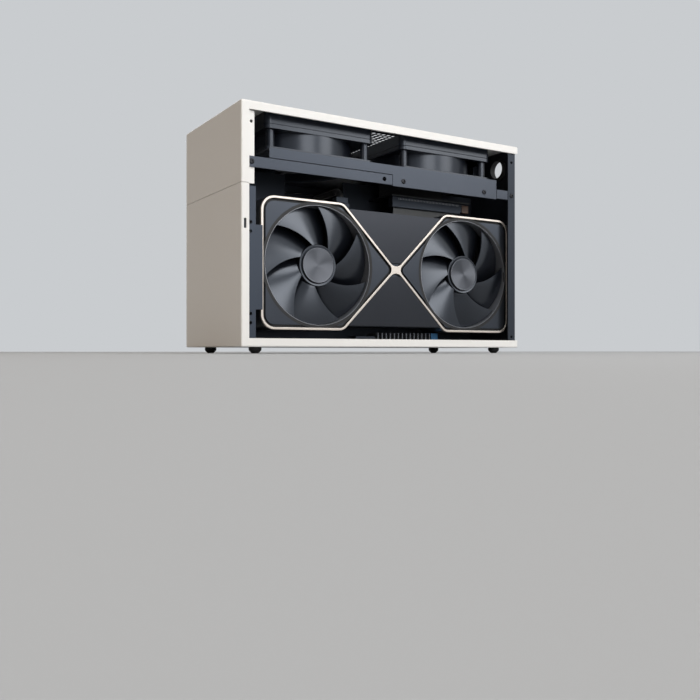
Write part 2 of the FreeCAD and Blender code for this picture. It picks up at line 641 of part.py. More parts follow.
# Roof fans: an open-cornered square frame with corner posts, a round duct and a strutted motor
# plate, a wheel above it, and a thin square spacer on top.
spacers = []
for name, sign in (("front", "-"), ("rear", "")):
    fan_x = sign + "fan_pitch / 2"
    square = about(fan_x, "fan_size / 2")
    deep = about("0", "fan_size / 2")
    plate_z = ("tray_top", "tray_top + fan_plate")
    low = rounded(block(square, deep, ("tray_top", "tray_top + fan_flange")), "fan_round", upright_edge)
    high = rounded(block(square, deep, ("fan_top - fan_flange", "fan_top")), "fan_round", upright_edge)
    duct = rod("z", (fan_x, "0", "tray_top"), "fan_bore + fan_wall", "fan_thickness")
    corners = []
    for a in about(fan_x, "fan_post_pitch / 2"):
        for b in about("0", "fan_post_pitch / 2"):
            corners.append(rod("z", (a, b, "tray_top"), "fan_post", "fan_thickness"))
    body = cut(join(low, high, duct, *corners),
               rod("z", (fan_x, "0", "tray_top - 5"), "fan_bore", "fan_thickness + 10"))
    struts = [
        rod("z", (fan_x, "0", "tray_top"), "fan_hub", "fan_plate"),
        block(about(fan_x, "fan_bore + 1"), about("0", "fan_strut / 2"), plate_z),
        block(about(fan_x, "fan_strut / 2"), about("0", "fan_bore + 1"), plate_z)]
    node("fan_frame_" + name, join(body, *struts))
    rotor("fan_wheel_" + name, (fan_x, "0", "tray_top + fan_plate + run_gap"), "z", "fan_hub",
          "(fan_thickness - fan_plate - 2 * run_gap)", "(fan_bore - fan_tip_gap)", "fan_blades", 23, 0.10)
    spacer = rounded(block(square, deep, ("fan_top", "fan_top + duct_height")), "fan_round", upright_edge)
    spacers.append(cut(spacer, rod("z", (fan_x, "0", "fan_top - 5"), "fan_bore", "duct_height + 10")))
node("fan_spacers", group(spacers))


def card_edge(neck, dip):
    """Clockwise outline of the card's face: two rounded halves joined by a straight or hollow neck."""
    end = "(gpu_length / 2)"
    side = "(gpu_height / 2)"
    level = "(gpu_height / 2 + 0.4142 * gpu_bend)"
    slant = "(gpu_height / 2 - 0.2929 * gpu_bend)"
    hollow = ("1.4142 * " + neck, -1) if dip else ()
    points = []
    for a, b in (("-", ""), ("", "-")):
        points += [(a + end, b + side), (a + level, b + side, "gpu_bend", 1), (a + slant, b + slant),
                   (a + neck, b + neck) + hollow, (b + neck, b + neck),
                   (b + slant, b + slant, "gpu_bend", 1), (b + level, b + side), (b + end, b + side)]
    return points


def card_half(sign, inset, tip):
    """Outline of one house-shaped half, parallel to the card's edge and to its diagonals."""
    out = 1 if sign else -1
    end = "%s(gpu_length / 2 - %s)" % (sign, inset)
    past = "%s(gpu_length / 2 - gpu_corner)" % sign
    turn = "(gpu_corner - %s)" % inset
    bend = "(gpu_bend - %s)" % inset
    side = "(gpu_height / 2 - %s)" % inset
    below = "(%s - %s)" % (side, turn)
    level = "%s(gpu_height / 2 + 0.4142 * gpu_bend)" % sign
    slant_x = "%s(gpu_height / 2 + 0.4142 * %s - 0.2929 * %s)" % (sign, inset, bend)
    slant = "(%s - 0.2929 * %s)" % (side, bend)
    knee = "(%s - 1.4142 * %s)" % (tip, inset)
    return [(end, below, turn, out), (past, side), (level, side, bend, out), (slant_x, slant),
            (sign + tip, knee, "1.4142 * " + knee, out), (sign + tip, "-" + knee),
            (slant_x, "-" + slant, bend, out), (level, "-" + side), (past, "-" + side, turn, out),
            (end, "-" + below)]


def card_corner(middle, way):
    return abs(way.z) > 0.9 and abs(middle.x) > value("gpu_length / 2") - 0.1


# Card shroud: a slab with two round fan wells, a waisted middle, and raised faces inside a groove.
waist = "(gpu_height / 2 - gpu_waist)"
body = new_body()
place("slab", "gpu_thickness - gpu_backplate - gpu_trim_depth")
feature(body, "Pad", outline(sketch_on(body, "XY_Plane"), card_edge(waist, False)), Length="slab")
soften(body, "gpu_corner", card_corner)
inset = "(gpu_trim + gpu_groove)"
for sign in ("-", ""):
    face = card_half(sign, inset, "(gpu_plate + gpu_groove + 1)")
    feature(body, "Pad", outline(sketch_on(body, "XY_Plane", "slab"), face), Length="gpu_trim_depth - 0.8")
for sign in ("-", ""):
    high = "(%s - 0.5)" % waist
    low = "(gpu_plate + 0.5)"
    wing = "(%s - 1.4142 * fit_gap)"
    face = [("-" + wing % high, sign + high), (wing % high, sign + high), (wing % low, sign + low),
            ("-" + wing % low, sign + low)]
    feature(body, "Pad", outline(sketch_on(body, "XY_Plane", "slab"), face), Length="gpu_trim_depth - 0.5")
wells = sketch_on(body, "XY_Plane", "gpu_thickness")
ring(wells, "-gpu_offset", "0", "gpu_bore")
ring(wells, "gpu_offset", "0", "gpu_bore")
feature(body, "Pocket", wells, Length="gpu_thickness + 5")
move(body, ("gpu_x", "gpu_core", "gpu_z"), "-y")
finger = ("finger_x", "finger_x + finger_length")
board_span = ("gpu_board_y - board_sheet", "gpu_board_y")
pocket_x = ("finger_x - fit_gap", "finger_x + finger_length + fit_gap")
pocket_y = ("gpu_board_y - board_sheet - fit_gap", "gpu_board_y + fit_gap")
node("card_shroud", cut(body, block(pocket_x, pocket_y, ("gpu_high - gpu_fan_margin", "gpu_high + 5"))))

# Card trim: a bright metal frame of two rounded house-shaped loops that meet in a small plate.
body = new_body()
frame_line = outline(sketch_on(body, "XY_Plane"), card_edge("gpu_plate", True))
feature(body, "Pad", frame_line, Length="gpu_trim_depth")
soften(body, "gpu_corner", card_corner)
loops = sketch_on(body, "XY_Plane", "gpu_trim_depth")
for sign in ("-", ""):
    outline(loops, card_half(sign, "gpu_trim", "(gpu_plate + 1)"))
feature(body, "Pocket", loops, Length="gpu_trim_depth + 1")
node("card_trim", move(body, ("gpu_x", "gpu_face + gpu_trim_depth", "gpu_z"), "-y"))

# Card fans: wheels turning on motor bosses, each with a spun metal cap on its hub.
for name, sign in (("front", "-"), ("rear", "+")):
    hub_x = "gpu_x %s gpu_offset" % sign
    place("card_hub_" + name, hub_x)
    start = "gpu_face + gpu_trim_depth + gpu_rotor_depth"
    rotor("card_wheel_" + name, ("card_hub_" + name, start, "gpu_z"), "-y", "gpu_hub", "gpu_rotor_depth",
          "(gpu_bore - gpu_tip_gap)", "gpu_blades", 12, 0.32, 0.3, -1, 1)
    turned("card_cap_" + name, [("0", "0"), ("gpu_cap", "0"), ("gpu_cap", "gpu_cap_height / 2"),
                                ("gpu_cap - 1", "gpu_cap_height"), ("0", "gpu_cap_height")],
           ("card_hub_" + name, "gpu_face + gpu_trim_depth", "gpu_z"), "-y")

# Card fins: rows of upright fins behind each wheel, and the motor boss that carries the wheel.
place("fin_face", "gpu_face + gpu_trim_depth + gpu_rotor_depth + run_gap")
fins = []
for name in ("front", "rear"):
    hub_x = "card_hub_" + name
    spread = int(value("gpu_bore") // value("gpu_fin_pitch")) - 1
    row = []
    for step in range(-spread, spread + 1):
        middle = "%s %+d * gpu_fin_pitch" % (hub_x, step)
        row.append(block(about(middle, "gpu_fin / 2"), ("fin_face + 1", "gpu_core"),
                         about("gpu_z", "gpu_bore")))
    disc = rod("y", (hub_x, "fin_face + 1", "gpu_z"), "gpu_bore - 0.4", "gpu_core - fin_face - 1")
    boss = rod("y", (hub_x, "fin_face", "gpu_z"), "gpu_motor", "gpu_core - fin_face")
    fins.append(join(common(group(row), disc), boss))
node("card_fins", group(fins))

# Card back: flat back plate, the board edge that plugs upwards, and the bracket at the back wall.
body = new_body()
plate_line = outline(sketch_on(body, "XY_Plane"), card_edge(waist, False))
feature(body, "Pad", plate_line, Length="gpu_backplate")
soften(body, "gpu_corner", card_corner)
node("card_backplate", move(body, ("gpu_x", "gpu_back", "gpu_z"), "-y"))
node("card_board", block(finger, board_span,
                         ("gpu_high - gpu_fan_margin + fit_gap", "slot_low + finger_depth")))
bracket = block(("gpu_rear", "rear_in"), ("gpu_face + 2", "gpu_back"), ("gpu_low + 8", "gpu_high - 4"))
outlets = []
for index in range(int(value("outlet_count"))):
    low = "gpu_low + outlet_low + %d * outlet_step" % index
    outlets.append(block(("gpu_rear + 1", "rear_in + 1"),
                         ("gpu_back - outlet_back - outlet_wide", "gpu_back - outlet_back"),
                         (low, low + " + outlet_tall")))
node("card_bracket", cut(bracket, *outlets))

# Riser: the upturned slot that takes the card's edge, its small board and the flat ribbon that
# crosses over the spine to the main board's slot.
place("finger_end", "finger_x + finger_length")
slot_y = about("gpu_board_y - board_sheet / 2", "slot_width / 2")
housing = block(("finger_x - slot_end", "finger_end + slot_end"), slot_y, ("slot_low", "slot_high"))
gap = block(pocket_x, pocket_y, ("slot_low - 5", "slot_low + finger_depth + fit_gap"))
latch = block(("finger_end + slot_end", "finger_end + slot_end + latch_length"),
              ("gpu_board_y - slot_width / 2", "gpu_board_y + slot_width / 4"), ("slot_low + 2", "slot_high"))
node("riser_slot", join(cut(housing, gap), latch))
riser_x = ("finger_x - riser_front", "finger_end + slot_end + latch_length")
riser_z = ("slot_high", "slot_high + board_sheet")
node("riser_board", block(riser_x, ("gpu_board_y - slot_width", "spine_y"), riser_z))
place("ribbon_top", "tray_under - ribbon_roof_gap")
place("ribbon_y", "spine_y - ribbon_back")
place("plug_y", "board_face + plug_rise")
place("plug_top", "plug_z + plug_height")
node("riser_ribbon", join(
    block(finger, ("ribbon_y", "ribbon_y + ribbon_sheet"), (riser_z[1], "ribbon_top")),
    block(finger, ("ribbon_y", "plug_y"), ("ribbon_top - ribbon_sheet", "ribbon_top")),
    block(finger, ("plug_y - ribbon_sheet", "plug_y"), ("plug_top", "ribbon_top"))))
node("riser_plug", block(("finger_x - slot_end", "finger_end + slot_end"), ("board_face", "plug_y"),
                         ("plug_z", "plug_top")))

# Main board on four standoffs behind the spine, with memory, connector cover and connectors.
board_span_x = ("board_x", "board_x + board_size")
board_span_z = ("board_z", "board_z + board_size")
node("main_board", block(board_span_x, ("board_y", "board_face"), board_span_z))
posts = []
for x in ("board_x + standoff_inset", "board_x + board_size - standoff_inset"):
    for z in ("board_z + standoff_inset", "board_z + board_size - standoff_inset"):
        posts.append(rod("y", (x, "spine_far", z), "standoff_radius", "standoff_height"))
node("board_standoffs", group(posts))
cover = block(("rear_in - io_depth", "rear_in - board_rear_gap"),
              ("board_face", "board_face + io_width - 6"), io_z)
node("connector_cover", rounded(cover, "io_round", lambda p, d: abs(d.z) > 0.9
                                and p.x < value("rear_in") - 5 and p.y > value("board_face") + 5))
plates = []
place("jack_step", "(io_length - jack_gap) / jack_count")
for index in range(int(value("jack_count"))):
    low = "%s + jack_gap + %d * jack_step" % (io_z[0], index)
    reach = "jack_narrow" if index % 3 == 2 else "jack_wide"
    plates.append(block(("rear_in - board_rear_gap", "rear_face"),
                        ("board_face + jack_lift", "board_face + jack_lift + " + reach),
                        (low, low + " + jack_step - jack_gap")))
node("rear_connectors", group(plates))
sticks = []
for index in range(2):
    start = "board_x + memory_inset + %d * memory_pitch" % index
    sticks.append(block((start, start + " + memory_sheet"), ("board_face", "board_face + memory_height"),
                        ("board_z + memory_low", "plug_z - memory_gap")))
node("memory_modules", group(sticks))

# Processor cooler: a base block, a stack of fins on a plate and a flat fan blowing down.
place("cool_y", "board_face + cooler_base_height")
half_c = "cooler_fan / 2"
stack = [block(about("cool_x", half_c + " - 4"), ("cool_y", "cool_y + cooler_plate"),
               about("cool_z", half_c + " - 6"))]
fin_count = int(value("(cooler_fan - 4) / cooler_fin_pitch"))
for step in range(fin_count):
    middle = "cool_z + (%d - %d / 2) * cooler_fin_pitch" % (step, fin_count - 1)
    stack.append(block(about("cool_x", half_c + " - 2"), ("cool_y", "cool_fan_y"),
                       about(middle, "cooler_fin / 2")))
node("cooler_fins", join(*stack))
node("cooler_base", block(about("cool_x", "cooler_base / 2"), ("board_face", "cool_y"),
                          about("cool_z", "cooler_base / 2")))
frame = block(about("cool_x", half_c), ("cool_fan_y", "cool_fan_y + cooler_fan_thickness"),
              about("cool_z", half_c))
frame = rounded(frame, "cooler_round", lambda p, d: abs(d.y) > 0.9)
frame = cut(frame, rod("y", ("cool_x", "cool_fan_y - 5", "cool_z"), half_c + " - cooler_wall",
                       "cooler_fan_thickness + 10"))
bar_y = ("cool_fan_y", "cool_fan_y + cooler_bar")
frame_bars = [
    rod("y", ("cool_x", "cool_fan_y", "cool_z"), "cooler_hub", "cooler_bar"),
    block(about("cool_x", half_c + " - 1"), bar_y, about("cool_z", "cooler_bar")),
    block(about("cool_x", "cooler_bar"), bar_y, about("cool_z", half_c + " - 1"))]
node("cooler_fan_frame", join(frame, *frame_bars))
rotor("cooler_wheel", ("cool_x", "cool_fan_y + cooler_bar + run_gap", "cool_z"), "y", "cooler_hub",
      "(cooler_fan_thickness - cooler_bar - 2 * run_gap)", "(cooler_fan / 2 - cooler_wall - 1.2)",
      "cooler_blades", 20, 0.08)

# Power unit: a steel box with a round fan opening towards the closed side, a wheel in it and a
# ring-and-spoke wire guard over it.
place("psu_cx", "psu_x + psu_length / 2")
place("psu_cz", "psu_z + psu_height / 2")
place("psu_well", "psu_face - psu_fan_depth")
place("guard_y", "psu_face - grille_wire")
case = block(("psu_x", "psu_x + psu_length"), ("spine_far", "guard_y"), ("psu_z", "psu_z + psu_height"))
node("power_unit", cut(case, rod("y", ("psu_cx", "psu_well", "psu_cz"), "psu_fan_bore", "psu_fan_depth + 5")))
rotor("power_wheel", ("psu_cx", "psu_well + run_gap", "psu_cz"), "y", "psu_hub",
      "(psu_fan_depth - grille_wire - 4 * run_gap)", "(psu_fan_bore - 1.5)", "psu_blades", 22, 0.08)
hoops = []
for index in range(int(value("(psu_fan_bore + 2) / grille_step"))):
    radius = "psu_fan_bore + 2 - %d * grille_step" % index
    hoops.append(cut(rod("y", ("psu_cx", "guard_y", "psu_cz"), radius, "grille_wire"),
                     rod("y", ("psu_cx", "psu_face - 5", "psu_cz"), radius + " - grille_wire", "20")))
guard_span = ("guard_y", "psu_face")
spokes = [
    block(about("psu_cx", "psu_fan_bore + 2"), guard_span, about("psu_cz", "grille_wire / 2")),
    block(about("psu_cx", "grille_wire / 2"), guard_span, about("psu_cz", "psu_fan_bore + 2"))]
node("power_guard", join(*hoops, *spokes))


def cable(label, points):
    """Plain eight-sided lead along straight runs joined by arcs, ends on the pieces it serves."""
    spots = [FreeCAD.Vector(*[value(text) for text in point]) for point in points]
    bend = value("cable_bend")
    edges = []
    here = spots[0]
    for index in range(1, len(spots) - 1):
        into = (spots[index] - spots[index - 1]).normalize()
        out = (spots[index + 1] - spots[index]).normalize()
        first = spots[index] - into * bend
        last = spots[index] + out * bend
        middle = spots[index] + (out - into) * bend * (1 - math.sqrt(0.5))
        edges.append(Part.makeLine(here, first))
        edges.append(Part.Arc(first, middle, last).toShape())
        here = last
    edges.append(Part.makeLine(here, spots[-1]))
    path = Part.Wire(edges)
    along = FreeCAD.Rotation(FreeCAD.Vector(0, 0, 1), spots[1] - spots[0])
    sides = int(value("cable_sides"))
    corners = []
    for step in range(sides + 1):
        angle = 2 * math.pi * (step + 0.5) / sides
        corner = FreeCAD.Vector(math.cos(angle), math.sin(angle), 0) * value("cable_radius")
        corners.append(spots[0] + along.multVec(corner))
    across = Part.makePolygon(corners)
    lead = doc.addObject("Part::Feature", "lead")
    lead.Shape = path.makePipeShell([across], True, False)
    return node(label, lead)


# Leads: mains from the inlet to the power unit, and the two supply leads to the board and card.
place("lead_x", "tray_end + cable_radius + lead_gap")
place("lead_y", "bar_in - cable_radius - 6")
place("lead_z", "cool_z + cooler_fan / 2 + cable_radius + 1.5")
place("lead_roof", "rail_low - cable_radius - 0.5")
cable("mains_lead", [("rear_in - inlet_depth", "0", "fitting_z"), ("lead_x", "0", "fitting_z"),
                     ("lead_x", "0", "tray_top"), ("lead_x", "lead_y", "tray_top"),
                     ("lead_x", "lead_y", "lead_z"),
                     ("psu_cx + 30", "lead_y", "lead_z"), ("psu_cx + 30", "lead_y", "psu_z + psu_height")])
place("card_lead_x", "gpu_x - gpu_height / 2 + gpu_waist + cable_radius + 5")
cable("card_lead", [("card_lead_x", "spine_far + 20", "psu_z + psu_height"),
                    ("card_lead_x", "spine_far + 20", "lead_roof"),
                    ("card_lead_x", "gpu_board_y", "lead_roof"),
                    ("card_lead_x", "gpu_board_y", "gpu_high - gpu_waist")])
place("board_lead_x", "board_x + memory_inset / 2")
place("board_lead_z", "psu_z + psu_height - 20")
cable("board_lead", [("psu_x + psu_length", "board_face + 22", "board_lead_z"),
                     ("board_lead_x", "board_face + 22", "board_lead_z"),
                     ("board_lead_x", "board_face", "board_lead_z")])

# Storage module: a small board standing on the floor vent under the card with a finned cover.
drive_x = ("drive_start - length / 2", "drive_start - length / 2 + drive_length")
drive_yy = ("near + drive_y", "near + drive_y + drive_width")
place("drive_z", "floor_top + vent_sheet + board_sheet")
node("drive_board", block(drive_x, drive_yy, ("floor_top + vent_sheet", "drive_z")))
bar_x = (drive_x[0] + " + 2", drive_x[1] + " - 2")
bar_y = (drive_yy[0] + " + 1", drive_yy[1] + " - 1")
ridge = [block(bar_x, bar_y, ("drive_z", "drive_z + drive_base"))]
for index in range(int(value("drive_fins"))):
    start = "%s + %d * (drive_length - 4 - drive_fin) / (drive_fins - 1)" % (bar_x[0], index)
    fin_z = ("drive_z + drive_base", "gpu_low - drive_gap")
    ridge.append(block((start, start + " + drive_fin"), bar_y, fin_z))
node("drive_cooler", join(*ridge))

# Closed side: a flat panel that lies flush inside the rim, vented, and held by studs that snap
# into the tab and the back column; it pulls straight off.
panel_x = ("front + rim + panel_gap", "rear_face - panel_gap")
panel_z = ("rim_low + panel_gap", "rim_high - panel_gap")
place("panel_mid_z", "(rim_low + rim_high) / 2")
panel = rounded(block(panel_x, ("far - panel_sheet", "far"), panel_z), "rim / 3", lambda p, d: abs(d.y) > 0.9)
field = lattice("side_vent_length", "side_vent_height", ("0", "far", "panel_mid_z"), "y", 10)
node("side_panel", cut(panel, field))
stud_y = "far - panel_sheet - stud_length"
pins = [rod("y", ("front + stud_inset_x", stud_y, "roof - stud_inset_z"), "stud_radius", "stud_length")]
for stud_z in stud_heights:
    pins.append(rod("y", ("rear_face - column / 2", stud_y, stud_z), "stud_radius", "stud_length"))
node("panel_studs", group(pins))

doc.recompute()
for thing in doc.Objects:
    if "Invalid" in thing.State or "Error" in thing.State:
        raise RuntimeError("not built: %s (%s)" % (thing.Name, thing.Label))
os.makedirs("parts", exist_ok=True)
for thing in nodes:
    if thing.Shape.isNull() or not thing.Shape.isValid() or not thing.Shape.Solids:
        raise RuntimeError("bad shape: " + thing.Label)
for thing in nodes:
    thing.Shape.exportStep("parts/%s.step" % thing.Label)
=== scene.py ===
import math
import bmesh
import bpy
from mathutils import Matrix, Vector


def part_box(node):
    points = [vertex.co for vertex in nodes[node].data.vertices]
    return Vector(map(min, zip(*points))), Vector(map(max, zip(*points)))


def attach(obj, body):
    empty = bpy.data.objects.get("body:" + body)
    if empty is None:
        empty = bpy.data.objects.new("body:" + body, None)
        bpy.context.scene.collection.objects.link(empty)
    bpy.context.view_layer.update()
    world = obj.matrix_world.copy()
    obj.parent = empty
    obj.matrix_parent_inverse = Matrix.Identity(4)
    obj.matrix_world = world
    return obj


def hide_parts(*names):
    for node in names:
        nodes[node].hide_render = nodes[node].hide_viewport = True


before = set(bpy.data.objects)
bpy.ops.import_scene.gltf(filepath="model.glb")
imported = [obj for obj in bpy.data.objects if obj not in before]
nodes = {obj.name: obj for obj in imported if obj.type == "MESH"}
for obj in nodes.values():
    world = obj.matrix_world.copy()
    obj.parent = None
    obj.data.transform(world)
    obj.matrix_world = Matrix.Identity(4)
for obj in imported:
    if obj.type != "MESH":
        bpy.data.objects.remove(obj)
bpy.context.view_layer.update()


# Stage: a pale seamless floor and a camera almost at floor level that looks at the open side and
# the front. Six soft lamps stand round it: a low one before the open side, one to its right, a weak
# one above, a warm one before the front, one behind and one over the roof.
def srgb(code):
    """Hex colour as linear RGBA."""
    parts = [int(code[i:i + 2], 16) / 255 for i in (0, 2, 4)]
    return [c / 12.92 if c <= 0.04045 else ((c + 0.055) / 1.055) ** 2.4 for c in parts] + [1.0]


def add(tree, kind, inputs=None, **settings):
    """Add one shader or geometry node with its settings and links."""
    made = tree.nodes.new(kind)
    for key, value in settings.items():
        setattr(made, key, value)
    for key, value in (inputs or {}).items():
        if isinstance(value, bpy.types.NodeSocket):
            tree.links.new(value, made.inputs[key])
        else:
            made.inputs[key].default_value = value
    return made


scene = bpy.context.scene
scene.view_settings.view_transform = "Standard"
lens = bpy.data.cameras.new("camera")
lens.lens = 41.57
lens.sensor_width = 36
lens.clip_start = 0.002
eye = bpy.data.objects.new("camera", lens)
eye.location = (-0.4637, -0.7426, 0.0024)
eye.rotation_euler = (math.radians(90.06), 0, math.radians(-31.5))
scene.collection.objects.link(eye)
scene.camera = eye

# the background is pale where it is seen or mirrored, and a weak warm fill for everything else
PALE = "C9CCCF"
world = bpy.data.worlds.new("studio")
scene.world = world
world.use_nodes = True
sky = world.node_tree
sky.nodes.clear()
path = add(sky, "ShaderNodeLightPath")
straight, through, mirrored = [path.outputs[ray] for ray in
                               ("Is Camera Ray", "Is Transmission Ray", "Is Glossy Ray")]
clear = add(sky, "ShaderNodeMath", {0: straight, 1: through}, operation="MAXIMUM")
seen = add(sky, "ShaderNodeMath", {0: clear.outputs[0], 1: mirrored}, operation="MAXIMUM")
plain = add(sky, "ShaderNodeBackground", {"Color": srgb("E8D9C6"), "Strength": 0.21})
shown = add(sky, "ShaderNodeBackground", {"Color": srgb(PALE), "Strength": 1.0})
both = add(sky, "ShaderNodeMixShader", {0: seen.outputs[0], 1: plain.outputs[0], 2: shown.outputs[0]})
add(sky, "ShaderNodeOutputWorld", {"Surface": both.outputs[0]})

REACH = 6
mesh = bpy.data.meshes.new("floor")
mesh.from_pydata([(-REACH, -REACH, 0), (REACH, -REACH, 0), (REACH, REACH, 0), (-REACH, REACH, 0)],
                 [], [(0, 1, 2, 3)])
floor = bpy.data.objects.new("floor", mesh)
scene.collection.objects.link(floor)
# matt paper, which gives the eye a soft shadow and no mirror light
sweep = bpy.data.materials.new("studio_floor")
sweep.use_nodes = True
shade = sweep.node_tree.nodes["Principled BSDF"]
shade.inputs["Base Color"].default_value = srgb("BEC1C4")
shade.inputs["Roughness"].default_value = 0.6
shade.inputs["Specular IOR Level"].default_value = 0.0
# far from the computer the floor runs out into the pale of the background
paint = sweep.node_tree
where = add(paint, "ShaderNodeTexCoord")
apart = add(paint, "ShaderNodeVectorMath", {0: where.outputs["Object"]}, operation="LENGTH")
fade = add(paint, "ShaderNodeMapRange", {"Value": apart.outputs["Value"], "From Min": 0.5, "From Max": 3.0},
           interpolation_type="SMOOTHSTEP")
path = add(paint, "ShaderNodeLightPath")
straight, mirrored = [path.outputs[ray] for ray in ("Is Camera Ray", "Is Glossy Ray")]
clear = add(paint, "ShaderNodeMath", {0: straight, 1: mirrored}, operation="MAXIMUM")
share = add(paint, "ShaderNodeMath", {0: fade.outputs[0], 1: clear.outputs[0]}, operation="MULTIPLY")
glow = add(paint, "ShaderNodeEmission", {"Color": srgb(PALE), "Strength": 1.0})
blend = add(paint, "ShaderNodeMixShader", {0: share.outputs[0], 1: shade.outputs[0], 2: glow.outputs[0]})
paint.links.new(blend.outputs[0], paint.nodes["Material Output"].inputs["Surface"])
mesh.materials.append(sweep)

# each lamp's place, the point it faces and its width in metres, its power in watts and its colour
for name, spot, aim, size, power, tint in (
        ("key", (-0.1, -1.95, 0.42), (0, 0, 0.11), 0.9, 12.8, "FFFFFF"),
        ("top", (-0.16, -0.8, 0.92), (0, 0, 0.1), 0.4, 2.6, "FFFFFF"),
        ("side", (1.05, -1.5, 0.9), (0, 0, 0.12), 0.9, 11.8, "FFFFFF"),
        ("front", (-2.0, -0.25, 0.9), (0, 0, 0.12), 1.0, 3.4, "FFD3A0"),
        ("back", (0.35, 1.9, 0.75), (0, 0, 0.12), 1.2, 12, "FFFFFF"),
        ("roof", (0.3, 0.2, 1.7), (0, 0, 0.2), 1.2, 10, "FFFFFF")):
    lamp = bpy.data.lights.new(name, "AREA")
    lamp.size = size
    lamp.energy = power
    lamp.color = srgb(tint)[:3]
    holder = bpy.data.objects.new(name, lamp)
    holder.location = spot
    holder.rotation_euler = (Vector(aim) - Vector(spot)).to_track_quat("-Z", "Y").to_euler()
    scene.collection.objects.link(holder)


# Shell: two folded sheets, roof with upper front and floor with lower front, that meet at a seam.
# They are steel with a satin white powder coat, its folds slightly round and its surface faintly
# pebbled.
def finish(name, colour, rough, metal=0.0):
    """Start a material; returns it with its node tree and shader."""
    made = bpy.data.materials.new(name)
    made.use_nodes = True
    shader = made.node_tree.nodes["Principled BSDF"]
    shader.inputs["Base Color"].default_value = srgb(colour)
    shader.inputs["Roughness"].default_value = rough
    shader.inputs["Metallic"].default_value = metal
    return made, made.node_tree, shader


# width in mm of the soft clouds in which a surface is a little duller or brighter
CLOUD = 45.45


def grained(tree, shader, grain, height, spread):
    """Grain and relief of a size in mm, and roughness that wanders over the piece by a spread.

    The grain is drawn coarser than the real one, so that it shows.
    """
    rough = shader.inputs["Roughness"].default_value
    place = add(tree, "ShaderNodeTexCoord").outputs["Object"]
    speck = add(tree, "ShaderNodeTexNoise", {"Vector": place, "Scale": 1000 / grain, "Detail": 3.0})
    relief = add(tree, "ShaderNodeBump",
                 {"Height": speck.outputs["Fac"], "Strength": 0.25, "Distance": height / 1000})
    tree.links.new(relief.outputs[0], shader.inputs["Normal"])
    broad = add(tree, "ShaderNodeTexNoise", {"Vector": place, "Scale": 1000 / CLOUD, "Detail": 4.0})
    level = add(tree, "ShaderNodeMapRange",
                {"Value": broad.outputs["Fac"], "To Min": rough - spread, "To Max": rough + spread})
    tree.links.new(level.outputs[0], shader.inputs["Roughness"])


def baked(mesh, kind, **settings):
    """Apply one modifier to a loose mesh."""
    holder = bpy.data.objects.new("blank", mesh)
    scene.collection.objects.link(holder)
    step = holder.modifiers.new(kind, kind)
    for key, value in settings.items():
        setattr(step, key, value)
    bpy.context.view_layer.update()
    graph = bpy.context.evaluated_depsgraph_get()
    done = bpy.data.meshes.new_from_object(holder.evaluated_get(graph))
    bpy.data.objects.remove(holder)
    return done


# from this many faces on a mesh keeps its plain normals
DENSE = 20000


def piece(name, mesh, material, body, slot, *stands_for, sharp=50):
    """Put a finished mesh on its body, smooth over its round faces."""
    mesh.shade_smooth()
    mesh.set_sharp_from_angle(angle=math.radians(sharp))
    if len(mesh.polygons) < DENSE:
        mesh = baked(mesh, "WEIGHTED_NORMAL", keep_sharp=True, weight=70)
    # faces with many sides are split, so that other programs fill them alike
    mesh = baked(mesh, "TRIANGULATE", min_vertices=5, keep_custom_normals=True)
    mesh.name = name
    mesh.materials.clear()
    mesh.materials.append(material)
    made = bpy.data.objects.new(name, mesh)
    scene.collection.objects.link(made)
    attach(made, body)
    if stands_for:
        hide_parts(*stands_for)
    return made


def bevelled(mesh, width):
    """Round the sharp edges by a width in mm."""
    return baked(mesh, "BEVEL", width=width / 1000, segments=2, limit_method="ANGLE",
                 angle_limit=math.radians(40))


def eased(node, width):
    """Copy of a solid with its faces merged and its sharp edges rounded by a width in mm."""
    copy = nodes[node].data.copy()
    work = bmesh.new()
    work.from_mesh(copy)
    bmesh.ops.remove_doubles(work, verts=work.verts, dist=2e-6)
    bmesh.ops.dissolve_limit(work, angle_limit=math.radians(0.4), verts=work.verts, edges=work.edges)
    work.to_mesh(copy)
    work.free()
    return bevelled(copy, width)


# the coat gives the eye a bright, even, slightly soft white
white_coat, tree, shader = finish("white_powder_coat", "EFEEEB", 0.46)
grained(tree, shader, grain=0.9, height=0.03, spread=0.05)
for node in ("top_cover", "base_cover"):
    piece("shell_" + node, eased(node, 0.4), white_coat, "case", "white_paint", node)


# Vent sheets and side panel: steel sheets punched with a square field of round holes. The thin ones
# lie under the roof's window and over the floor's, coated black; the white panel of the closed side
# hangs on studs.
def shape(points, faces):
    """Loose mesh from points in mm."""
    made = bpy.data.meshes.new("shape")
    made.from_pydata([(x / 1000, y / 1000, z / 1000) for x, y, z in points], [], faces)
    return made


def slab(low, high):
    """Box mesh between two corners in mm."""
    (a, b, c), (d, e, f) = low, high
    points = [(a, b, c), (d, b, c), (d, e, c), (a, e, c), (a, b, f), (d, b, f), (d, e, f), (a, e, f)]
    faces = [(0, 3, 2, 1), (4, 5, 6, 7), (0, 1, 5, 4), (1, 2, 6, 5), (2, 3, 7, 6), (3, 0, 4, 7)]
    return shape(points, faces)


def joined(*meshes):
    """Several meshes as one."""
    work = bmesh.new()
    for mesh in meshes:
        work.from_mesh(mesh)
    made = bpy.data.meshes.new("joined")
    work.to_mesh(made)
    work.free()
    return made


def shifted(mesh, x=0.0, y=0.0, z=0.0):
    """Copy of a mesh, moved by a way in mm."""
    copy = mesh.copy()
    copy.transform(Matrix.Translation((x / 1000, y / 1000, z / 1000)))
    return copy


def corners(node):
    """Low and high corner of a node's box in mm."""
    return [[v * 1000 for v in corner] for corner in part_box(node)]


